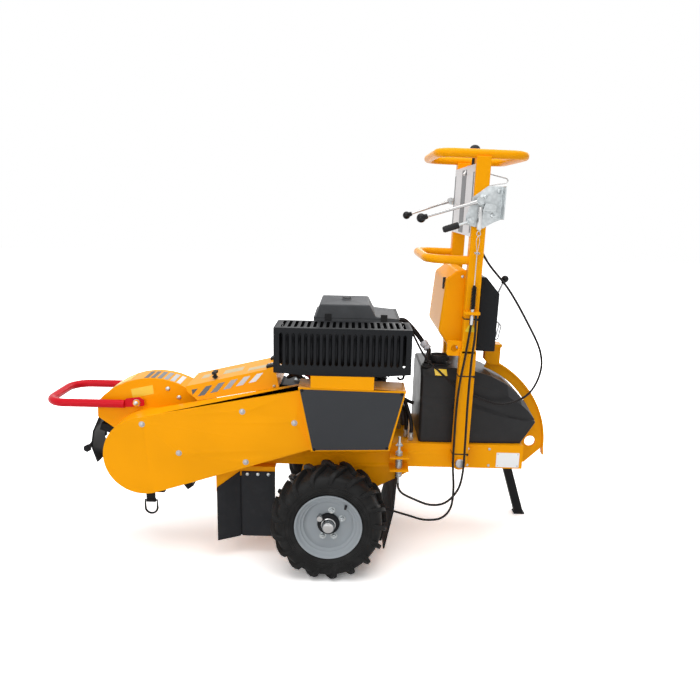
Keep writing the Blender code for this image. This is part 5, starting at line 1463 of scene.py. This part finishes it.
    def plumbing(self) -> None:
        """Pump fittings, short hoses, battery leads and the lifting hook."""
        fittings = self.shape()
        for x, y, z in ((0.257, -0.012, 0.500), (0.276, -0.105, 0.452), (0.292, -0.142, 0.4535)):
            fittings.rod((x, y, self.deck + 0.0005), (x, y, z), 0.0095, sides=6)
            fittings.rod((x, y, z), (x, y, z + 0.012), 0.0070)
            fittings.rod((x, y, z + 0.010), (x, y, z + 0.017), 0.0085, sides=6)
        fittings.piece("hose_fittings", ZINC, Body.CHASSIS, 0.0006)
        self.runs("fuel_and_oil_hoses", CABLE_SHEATH, self.hoses, 0.0068)
        self.runs("battery_leads", CABLE_SHEATH, self.leads, 0.0075)
        self.runs("starter_lead", RED_SHEATH, (self.starter,), 0.0075)
        self.runs("engine_lifting_hook", BLACK_PAINT, (self.hook,), 0.0042, 12)


# ---------------------------------------------------------------- fuel tank
@dataclass
class Tank(Assembly):
    """Moulded fuel tank with creased flanks, its filler cap, connector and blank label."""

    pivot: Flat = (0.463, 0.387)
    dome: float = 0.3185
    base: float = 0.4403

    def roof(self, x: float) -> float:
        """Height of the tank's curved top at a distance behind the axle."""
        return self.pivot[1] + math.sqrt(self.dome ** 2 - (x - self.pivot[0]) ** 2) - 0.0008

    def build(self) -> None:
        """Make the tank's shell and what sits on it."""
        stations = [
            (0.3190, 0.1500, self.base, 0.588, 0.611, 0.6840, 0.7095, 0.112),
            (0.3260, 0.1597, self.base, 0.588, 0.611, 0.6860, 0.7118, 0.120),
            (0.3600, 0.1597, self.base, 0.5875, 0.611, 0.6840, 0.7118, 0.120),
            (0.4300, 0.1597, self.base, 0.5845, 0.6105, 0.6785, 0.7118, 0.120),
            (0.4800, 0.1597, self.base, 0.5785, 0.5985, 0.6680, 0.7085, 0.120),
            (0.5220, 0.1597, self.base, 0.5700, 0.5860, 0.6590, self.roof(0.522), 0.120),
            (0.5800, 0.1590, self.base, 0.5530, 0.5660, 0.6400, self.roof(0.580), 0.117),
            (0.6400, 0.1575, self.base, 0.5390, 0.5450, 0.6130, self.roof(0.640), 0.110),
            (0.6910, 0.1550, self.base, 0.5290, 0.5330, 0.5820, self.roof(0.691), 0.098),
            (0.7200, 0.1510, 0.4830, 0.5260, 0.5285, 0.5570, self.roof(0.720), 0.088),
            (0.7440, 0.1440, 0.5180, 0.5230, 0.5250, 0.5280, self.roof(0.744), 0.076)]
        rings = []
        for x, half, base, low, high, crease, top, crown in stations:
            flank = [(half, base), (half, low), (half - 0.010, high), (half - 0.013, crease),
                     (crown, top)]
            rings.append([(x, y, z) for y, z in flank] + [(x, -y, z) for y, z in reversed(flank)])
        shape = self.shape().loft(rings)
        shape.lathe([(0.0, -0.004), (0.046, -0.004), (0.046, 0.004), (0.030, 0.006), (0.030, 0.012),
                     (0.0, 0.012)], (0.392, -0.045, 0.712), steps=40)
        shape.piece("fuel_tank_moulding", TANK_PLASTIC, Body.CHASSIS, 0.0030, 3, 9,
                    replaces=["fuel_tank"])
        self.cap()
        label = self.shape()
        corners = [(0.368, 0.86), (0.412, 0.82), (0.414, 0.12), (0.370, 0.16)]
        label.loft([[(x, -0.1467 + 0.0267 * t - 0.72 * lift, 0.6835 + 0.0280 * t + 0.69 * lift)
                     for x, t in corners] for lift in (-0.0004, 0.0014)])
        label.piece("tank_label", YELLOW_FILM, Body.CHASSIS)

    def cap(self) -> None:
        """Fluted filler cap with a grip bar, the sender beside it and the loom's connector."""
        x, y, z = 0.392, -0.045, 0.712
        cap = self.shape()
        cap.lathe([(0.0, 0.0123), (0.0375, 0.0123), (0.0375, 0.027), (0.0345, 0.033), (0.0, 0.034)],
                  (x, y, z), steps=48)
        for i in range(24):
            turn = Matrix.Rotation(math.radians(15 * i), 4, "Z")
            a, b = (Vector((x, y, z)) + turn @ Vector((0.0378, 0, h)) for h in (0.0135, 0.0265))
            cap.rod(a, b, 0.0020, sides=8)
        cap.box((x - 0.026, y - 0.005, z + 0.032), (x + 0.026, y + 0.005, z + 0.0378))
        cap.piece("filler_cap_fluted", BLACK_PLASTIC, Body.CAP, 0.0009, replaces=["filler_cap"])
        sender = self.shape()
        foot = Vector((0.3385, -0.110, 0.7115))
        sender.lathe([(0, 0.0), (0.018, 0.0), (0.018, 0.005), (0.013, 0.007), (0.0125, 0.0138),
                      (0, 0.0138)], foot, steps=36)
        for turn in (20, 140, 260):
            a = math.radians(turn)
            sender.dome(foot + Vector((0.0148 * math.cos(a), 0.0148 * math.sin(a), 0.0045)),
                        (0, 0, 1), 0.003, 0.002)
        sender.piece("tank_sender", BLACK_PLASTIC, Body.CHASSIS, 0.0005)
        plug = self.shape()
        start = Vector((0.3290, -0.0500, 0.7930))
        plug.lathe([(0.0092, 0.0), (0.0130, 0.0005), (0.0155, 0.0050), (0.0155, 0.0180),
                    (0.0135, 0.0200), (0.0135, 0.0260), (0.0155, 0.0280), (0.0150, 0.0330),
                    (0.0110, 0.0360), (0.0092, 0.0360)],
                   start, Vector((0.3500, -0.0580, 0.7670)) - start, 40)
        plug.piece("loom_connector", PALE_PLASTIC, Body.CHASSIS, 0.0005)


# ---------------------------------------------------------------- chassis
@dataclass
class Chassis(Assembly):
    """Rails, axle carrier, motors, brake linkage, quadrant and parking leg."""

    face: float = -0.175
    rail_bolts: tuple[Flat, ...] = ((0.499, 0.424), (0.577, 0.424), (0.499, 0.361), (0.577, 0.361))
    plate: tuple[float, float, float, float] = (0.604, 0.688, 0.3550, 0.4110)

    def build(self) -> None:
        """Dress the chassis and add its hardware."""
        site = self.site
        site.eased("main_frame", YELLOW, Body.CHASSIS, 0.0016)
        site.eased("axle_carrier", YELLOW, Body.CHASSIS, 0.0010)
        site.eased("quadrant_plate", YELLOW, Body.CHASSIS, 0.0012)
        site.eased("support_leg", BLACK_PAINT, Body.LEG, 0.0014)
        for word in ("near", "far"):
            site.eased("wheel_motor_" + word, BLACK_PAINT, Body.CHASSIS, 0.0012)
        self.name_plate()
        self.hardware()
        self.brake_springs()

    def name_plate(self) -> None:
        """Bare metal plate with a rivet in each corner."""
        left, right, low, high = self.plate
        plate = self.shape()
        plate.prism(rounded([(left, low), (right, low), (right, high), (left, high)], 0.003, 4),
                    self.face - 0.0011, self.face)
        plate.piece("blank_plate", PLATE_FILM, Body.CHASSIS, 0.0003)
        self.heads("plate_rivets", ZINC,
                   [(x, self.face - 0.001, z) for x in (left + 0.006, right - 0.006)
                    for z in (low + 0.006, high - 0.006)], BELT_SIDE, (0.0026, 0.0015))

    def hardware(self) -> None:
        """Rail bolts, the mast's pivot heads, and the leg's bolt and stop."""
        self.heads("rail_bolts", ZINC, [(x, self.face, z) for x, z in self.rail_bolts],
                   BELT_SIDE, (0.0052, 0.0034), bevel=0.0003)
        heads = self.shape()
        for side in (-1, 1):
            heads.lathe([(0, 0), (0.0165, 0), (0.0165, 0.0015), (0.0148, 0.0030), (0.0, 0.0034)],
                        (0.463, side * 0.2288, 0.387), (0, side, 0), 40)
        heads.piece("pivot_heads", STEEL, Body.CHASSIS, 0.0003)
        leg = self.shape()
        leg.nut((0.690, 0.2178, 0.362), (0, 1, 0), 0.0105, 0.008, 0.004)
        leg.piece("leg_bolts", ZINC, Body.LEG, 0.0005)
        stud = self.shape()
        stud.nut((0.676, 0.152, 0.3500), (0, 0, -1), 0.0080, 0.0075, 0.012)
        stud.piece("leg_stop_stud", ZINC, Body.CHASSIS, 0.0005)

    def brake_springs(self) -> None:
        """Two coil springs, nuts and the eye of the parking brake's tension rod."""
        self.site.eased("brake_spring_rod", ZINC, Body.CHASSIS, 0.0004)
        x, y = 0.245, -0.220
        springs = self.shape()
        springs.tube(helix((x, y, 0.3640), (x, y, 0.4020), 0.0115, 5.5), 0.0016, 8)
        springs.tube(helix((x, y, 0.3380), (x, y, 0.3545), 0.0115, 2.5), 0.0016, 8)
        springs.piece("brake_springs", ZINC, Body.CHASSIS, angle=WIRE)
        nuts = self.shape()
        for z, height in ((0.4105, 0.008), (0.4205, 0.007), (0.3315, 0.0065), (0.4475, 0.008)):
            nuts.nut((x, y, z), (0, 0, 1), 0.0098, height)
        nuts.piece("brake_nuts", ZINC, Body.CHASSIS, 0.0005)


# ---------------------------------------------------------------- mast
@dataclass
class Mast(MastAssembly):
    """Tilting mast with its loops, console, control box and instrument panel."""

    inner: float = 0.180
    outer: float = 0.220
    low_half: float = 0.028
    high_half: float = 0.024
    split: float = 0.410
    top: float = 1.060
    tube: float = 0.015

    def build(self) -> None:
        """Make the mast and what is fixed on it."""
        self.weldment()
        self.console()
        self.control_box()
        self.panel()
        self.ties()

    def weldment(self) -> None:
        """Posts, loops, web and brackets as one welded frame."""
        mast = self.shape()
        for side in (-1, 1):
            low, high = sorted((side * self.inner, side * self.outer))
            mast.prism(arc(0, 0, self.low_half, 180, 360, 20)
                       + [(self.low_half, self.split), (-self.low_half, self.split)], low, high)
            mast.box((-self.high_half, low, self.split - 0.01), (self.high_half, high, self.top))
        left, right, side, level = -0.1435, 0.1485, 0.200, 1.068
        mast.tube(rounded([(left, -side, level), (right, -side, level), (right, side, level),
                           (left, side, level)], 0.060, 12), self.tube, 28, True)
        mast.tube(rounded([(0.0, -side, 0.720), (-0.162, -side, 0.720), (-0.162, side, 0.720),
                           (0.0, side, 0.720)], 0.070, 12, False), self.tube, 28)
        mast.box((-0.015, -self.inner - 0.004, 0.385), (-0.010, self.inner + 0.004, 0.664))
        mast.box((-0.012, -0.030, 0.388), (0.160, 0.030, 0.400))
        for y in (-0.10, 0.10):
            mast.box((-0.012, y - 0.015, 0.550), (0.0357, y + 0.015, 0.600))
        for low in (-0.0200, 0.0150):
            mast.prism(rounded([(0.100, 0.395), (0.100, 0.336), (0.118, 0.318), (0.158, 0.318),
                                (0.158, 0.395)], (0, 0.006, 0.006, 0.008, 0), 5), low, low + 0.005)
        mast.box((-0.022, -self.inner - 0.004, 1.028), (0.022, self.inner + 0.004, 1.036))
        ledge = rounded([(-0.030, -0.216), (-0.030, -0.246), (0.026, -0.246), (0.026, -0.216)],
                        (0, 0.010, 0.010, 0), 6)
        mast.prism(ledge, 0.540, 0.550, Plane.XY)
        self.lug(mast)
        mast.piece("mast_weldment", YELLOW, Body.MAST, 0.0018, 3, 34, replaces=["mast_frame"])
        arm = self.shape()
        arm.prism(rounded([(-0.052, 0.905), (0.020, 0.900), (0.020, 0.948), (-0.018, 0.938)],
                          0.006, 4), self.outer - 0.001, self.outer + 0.005)
        arm.rod((-0.036, 0.220, 0.917), (-0.036, 0.240, 0.917), 0.006)
        arm.piece("far_lever_bracket", ZINC, Body.MAST, 0.0006)

    def lug(self, mast: Shape) -> None:
        """Add the lifting lug, a plate with a round hole, to the mast's mesh."""
        x, z, half, bore, count = -0.047, 0.415, 0.027, 0.012, 48
        rings: list[list[Point]] = [[], [], [], []]
        for i in range(count):
            c, s = (f(2 * math.pi * i / count) for f in (math.cos, math.sin))
            reach = half / (abs(c) ** 7 + abs(s) ** 7) ** (1 / 7)
            for ring, radius, y in zip(rings, (reach, reach, bore, bore),
                                       (-0.205, -0.199, -0.199, -0.205)):
                ring.append((x + radius * c, y, z + radius * s))
        mast.band(rings)

    def console(self) -> None:
        """Rounded yellow housing on the mast's front, with its rubber latch and screws."""
        outline = [(-0.0153, 0.388), (-0.0153, 0.685), (-0.050, 0.680), (-0.086, 0.650),
                   (-0.100, 0.465), (-0.045, 0.388)]
        line = rounded(outline, (0, 0, 0.020, 0.022, 0.024, 0.012), 6)
        housing = self.shape().prism(line, -0.158, 0.158)
        housing.piece("console_housing", YELLOW, Body.MAST, 0.0085, 4, 40, replaces=["console"])
        latch = self.shape()
        for z in (0.636, 0.618):
            latch.box((-0.0945 + (z - 0.6) * 0.1, -0.140, z), (-0.078, -0.112, z + 0.011))
        latch.box((-0.0935, -0.131, 0.612), (-0.080, -0.121, 0.652))
        latch.piece("console_latch", BLACK_PLASTIC, Body.MAST, 0.0020)
        screws = self.shape()
        for side in (-1, 1):
            for x, z in ((-0.030, 0.410), (-0.030, 0.660)):
                screws.dome((x, side * 0.158, z), (0, side, 0), 0.0055, 0.0032)
        screws.piece("console_screws", ZINC, Body.MAST)

    def control_box(self) -> None:
        """Black control box behind the mast, with its clevis, spring clip and screws."""
        line = [(0.036, 0.4003), (0.036, 0.662), (0.052, 0.662), (0.1020, 0.606), (0.1020, 0.4003)]
        box = self.shape().prism(rounded(line, (0, 0, 0.006, 0.008, 0.004), 4), -0.165, 0.165)
        for low in (-0.0150, 0.0110):
            box.prism([(0.098, 0.538), (0.128, 0.538), (0.128, 0.558), (0.098, 0.558)],
                      low, low + 0.004)
        box.piece("control_box_shell", BLACK_PAINT, Body.MAST, 0.0022, 3, 30,
                  replaces=["control_box"])
        clip = self.shape()
        clip.box((0.1015, -0.112, 0.420), (0.1035, -0.072, 0.470))
        for y in (-0.110, -0.075):
            clip.tube(rounded([(0.103, y, 0.430), (0.122, y, 0.436), (0.130, y, 0.484),
                               (0.116, y, 0.500), (0.103, y, 0.492)], 0.006, 5, False), 0.0026, 10)
        clip.rod((0.130, -0.112, 0.484), (0.130, -0.073, 0.484), 0.0026)
        clip.piece("box_spring_clip", CHROME, Body.MAST, 0.0004)
        screws = self.shape()
        for side in (-1, 1):
            for x, z in ((0.048, 0.420), (0.090, 0.420), (0.048, 0.640), (0.090, 0.596)):
                screws.dome((x, side * 0.165, z), (0, side, 0), 0.0042, 0.0022)
        screws.piece("box_screws", BLACK_PAINT, Body.MAST)

    def panel(self) -> None:
        """Silver instrument panel with its plain dark bands and a bent lower lip."""
        self.site.eased("instrument_panel", SILVER_SHEET, Body.MAST, 0.0006)
        front = -0.0263
        bands = self.shape()
        for left, right, low, high in ((-0.052, 0.040, 0.806, 1.024),
                                       (-0.206, -0.188, 0.812, 1.010),
                                       (0.188, 0.206, 0.812, 1.010)):
            bands.box((front - FILM_THICK, left, low), (front, right, high))
        bands.piece("panel_bands", DARK_BAND, Body.MAST)
        wire = self.shape()
        wire.tube(rounded([(0.020, -0.160, 1.010), (0.128, -0.160, 0.986), (0.020, -0.160, 0.966)],
                          0.008, 5, False), 0.0022, 10)
        wire.piece("rear_wire_guide", CHROME, Body.MAST, angle=ROUND_STOCK)

    def ties(self) -> None:
        """Cable ties round the near post, and its blank three-cornered label."""
        ties = self.shape()
        for z in (0.030, 0.318, 0.520):
            wide = self.low_half if z < self.split else self.high_half
            low, high, depth = -self.outer - 0.0012, -self.inner + 0.0012, 0.0012
            ties.box((-wide - depth, low, z), (wide + depth, low + depth, z + 0.004))
            ties.box((-wide - depth, low, z), (-wide, high, z + 0.004))
            ties.box((wide, low, z), (wide + depth, high, z + 0.004))
            ties.box((wide - 0.006, low - 0.003, z - 0.002), (wide, low, z + 0.006))
        ties.piece("post_cable_ties", BLACK_PLASTIC, Body.MAST, 0.0003)
        label = self.shape()
        label.prism(rounded([(-0.020, 0.478), (0.020, 0.478), (0.0, 0.512)], 0.003, 3),
                    -self.outer - FILM_THICK, -self.outer)
        label.piece("post_label", YELLOW_FILM, Body.MAST)


# ---------------------------------------------------------------- controls
@dataclass
class Controls(MastAssembly):
    """Levers with ball knobs, grip lever, spring rod, tilt lock and stop button."""

    near: float = -0.246
    far: float = 0.233
    pivot: float = 0.917
    tip: Flat = (-0.1955, 0.8546)
    quadrant: float = 0.360
    plunger: float = 0.128

    def build(self) -> None:
        """Make every control."""
        self.bracket()
        self.lever("near", -0.0066, self.near, self.tip[0], Body.NEAR_LEVER)
        self.lever("far", -0.036, self.far, self.tip[0] - 0.010, Body.FAR_LEVER)
        self.grip()
        self.spring_rod()
        self.tilt_lock()
        self.stop_button()

    def bracket(self) -> None:
        """Zinc lever bracket with its bolts and a folded cover."""
        self.site.eased("lever_bracket", ZINC, Body.MAST, 0.0008)
        face = -0.2243
        bolts = self.shape()
        for x, z in ((0.012, 0.930), (0.040, 0.872), (0.056, 0.950)):
            bolts.dome((x, face, z), BELT_SIDE, 0.0070, 0.0040)
        bolts.nut((-0.0066, -0.2515, self.pivot), BELT_SIDE, 0.0095, 0.0055)
        bolts.nut((-0.034, -0.2505, 0.850), BELT_SIDE, 0.0080, 0.0050)
        bolts.piece("bracket_bolts", ZINC, Body.MAST, 0.0005)
        line = rounded([(0.004, 0.884), (0.050, 0.884), (0.050, 0.906), (0.012, 0.910)], 0.004, 4)
        fold = self.shape().prism(line, -0.2405, face + 0.0003)
        fold.piece("bracket_cover", ZINC, Body.MAST, 0.0012)

    def lever(self, word: str, x: float, y: float, tip: float, body: Body) -> None:
        """One chrome lever with its eye and black ball."""
        start, end = Vector((x, y, self.pivot)), Vector((tip, y, self.tip[1]))
        way = (end - start).normalized()
        rod = self.shape()
        rod.lathe([(0.0063, -0.005), (0.0132, -0.005), (0.0132, 0.005), (0.0063, 0.005)],
                  start, (0, 1, 0), 32)
        rod.rod(start + way * 0.011, start + way * 0.034, 0.0072, 0.0060)
        rod.rod(start + way * 0.030, end - way * 0.008, 0.0048)
        rod.piece(f"lever_{word}_rod", CHROME, body, 0.0004, replaces=["control_lever_" + word])
        knob = self.shape()
        knob.ball(end, 0.0155)
        knob.rod(end - way * 0.0215, end - way * 0.012, 0.0080, 0.0095)
        knob.piece(f"lever_{word}_ball", GLOSS_BLACK, body, angle=ROUND_STOCK)

    def grip(self) -> None:
        """Grip lever: a flat zinc blade in a ribbed black grip."""
        start, turn = Vector((-0.034, self.near, 0.850)), Vector((-0.043, self.near, 0.847))
        end = Vector((-0.122, self.near, 0.819))
        way = (end - turn).normalized()
        blade = self.shape()
        blade.lathe([(0.0063, -0.0038), (0.0112, -0.0038), (0.0112, 0.0038), (0.0063, 0.0038)],
                    start, (0, 1, 0), 28)
        blade.rod(turn, turn + way * 0.045, 0.0044, sides=16)
        blade.piece("grip_blade", ZINC, Body.GRIP, 0.0004)
        handle = self.shape()
        line = [(0.0, 0.030), (0.0098, 0.030)]
        for i in range(5):
            line += [(0.0112, 0.034 + i * 0.009), (0.0104, 0.0395 + i * 0.009)]
        line += [(0.0110, 0.078), (0.0075, (end - turn).length), (0.0, (end - turn).length)]
        handle.lathe(line, turn, way, 28)
        handle.piece("grip_handle", BLACK_PLASTIC, Body.GRIP, 0.0005, replaces=["grip_lever"])

    def spring_rod(self) -> None:
        """Gas strut sleeve, hook, wire, star clamp, coil spring and threaded sleeve."""
        x, y = -0.002, -0.236
        bright = self.shape()
        bright.lathe([(0, 0.820), (0.0045, 0.820), (0.0080, 0.826), (0.0080, 0.897),
                      (0.0055, 0.8988), (0, 0.8988)], (x, y, 0), steps=28)
        bright.tube([(x + 0.006 * math.cos(t), y, 0.812 + 0.008 * math.sin(t))
                     for t in (2 * math.pi * i / 20 for i in range(20))], 0.0016, 8, True)
        for way in (-1, 1):
            bright.tube(smooth([(x, y, 0.806), (x + way * 0.0055, y, 0.790),
                                (x + way * 0.0030, y, 0.765), (x, y, 0.750)], 6), 0.0010, 8)
        bright.rod((x, y, 0.636), (x, y, 0.752), 0.0018)
        bright.nut((x, y, 0.744), (0, 0, 1), 0.0065, 0.008)
        hub = Vector((x, y, 0.748))
        for turn in range(4):
            a = math.radians(45 + 90 * turn)
            bright.rod(hub, hub + 0.0105 * Vector((math.cos(a), math.sin(a), 0)), 0.0022)
        bright.lathe([(0, 0.506), (0.0066, 0.506), (0.0070, 0.520), (0.0070, 0.536),
                      (0.0056, 0.538), (0.0056, 0.560), (0, 0.560)], (x, y, 0), steps=28)
        bright.piece("strut_and_hook", CHROME, Body.MAST, 0.0003, replaces=["lever_spring_rod"])
        spring = self.shape()
        spring.tube(helix((x, y, 0.558), (x, y, 0.634), 0.0072, 15), 0.0018, 8)
        spring.rod((x, y, 0.556), (x, y, 0.640), 0.0050)
        spring.piece("black_coil_spring", BLACK_PAINT, Body.MAST, angle=WIRE)

    def tilt_lock(self) -> None:
        """Chrome tilt lever with its ball, and the lock plunger it lifts."""
        start, end = Vector((0.118, 0, 0.548)), Vector((0.154, 0, 0.642))
        way = (end - start).normalized()
        rod = self.shape()
        rod.lathe([(0, -0.0107), (0.0072, -0.0107), (0.0072, 0.0107), (0, 0.0107)],
                  start, (0, 1, 0), 28)
        rod.rod(start, end - way * 0.006, 0.0040)
        rod.piece("tilt_lever_rod", CHROME, Body.LOCK_LEVER, 0.0004, replaces=["tilt_lock_lever"])
        knob = self.shape().ball(end, 0.0135)
        knob.rod(end - way * 0.019, end - way * 0.010, 0.0068, 0.0082)
        knob.piece("tilt_lever_ball", GLOSS_BLACK, Body.LOCK_LEVER, angle=ROUND_STOCK)
        seat = math.sqrt(self.quadrant ** 2 - self.plunger ** 2) + 0.0035
        pin = self.shape()
        pin.lathe([(0, seat), (0.0036, seat), (0.0050, seat + 0.003), (0.0050, 0.4003),
                   (0.0088, 0.4003), (0.0088, 0.4500), (0.0050, 0.4520), (0.0050, 0.5190),
                   (0, 0.5200)], (self.plunger, 0, 0), steps=28)
        pin.piece("lock_plunger_pin", CHROME, Body.PLUNGER, 0.0004, replaces=["lock_plunger"])

    def stop_button(self) -> None:
        """Black mushroom button with a red ring and a pale toggle beneath it."""
        knob = self.shape()
        knob.lathe([(0, 1.020), (0.0078, 1.020), (0.0078, 1.072), (0.0200, 1.072), (0.0220, 1.076),
                    (0.0220, 1.090), (0.0200, 1.098), (0.0150, 1.107), (0.0080, 1.1118),
                    (0, 1.113)], (0.005, 0, 0), steps=40)
        for i in range(18):
            turn = Matrix.Rotation(math.radians(20 * i), 4, "Z")
            a, b = (Vector((0.005, 0, 0)) + turn @ Vector((0.0218, 0, h)) for h in (1.077, 1.089))
            knob.rod(a, b, 0.0015, sides=8)
        knob.piece("stop_knob", BLACK_PLASTIC, Body.STOP, 0.0006, replaces=["stop_button"])
        ring = self.shape()
        ring.lathe([(0.0092, 1.0362), (0.0225, 1.0362), (0.0225, 1.0405), (0.0092, 1.0420)],
                   (0.005, 0, 0), steps=40)
        ring.piece("stop_ring", RED_FILM, Body.MAST, 0.0006)
        toggle = self.shape()
        toggle.rod((-0.020, -0.030, 1.027), (-0.034, -0.042, 1.006), 0.0042, 0.0050)
        toggle.piece("pale_toggle", WHITE_FILM, Body.MAST, 0.0005)


def main() -> None:
    """Build the studio, then the machine from its cables outwards."""
    logging.basicConfig(level=logging.INFO, format="%(name)s: %(message)s")
    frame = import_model()
    site = Site(frame)
    bpy.context.scene.view_settings.view_transform = "Standard"
    Studio().build()
    Cables(site).build()
    for assembly in (Wheel(site, "near", -1, Body.WHEEL_NEAR, Body.LOCK_NEAR),
                     Wheel(site, "far", 1, Body.WHEEL_FAR, Body.LOCK_FAR),
                     Chassis(site), BeltDrive(site), Hood(site), Lid(site), Engine(site),
                     Tank(site), Mast(site), Controls(site)):
        assembly.build()


if __name__ == "__main__":
    main()
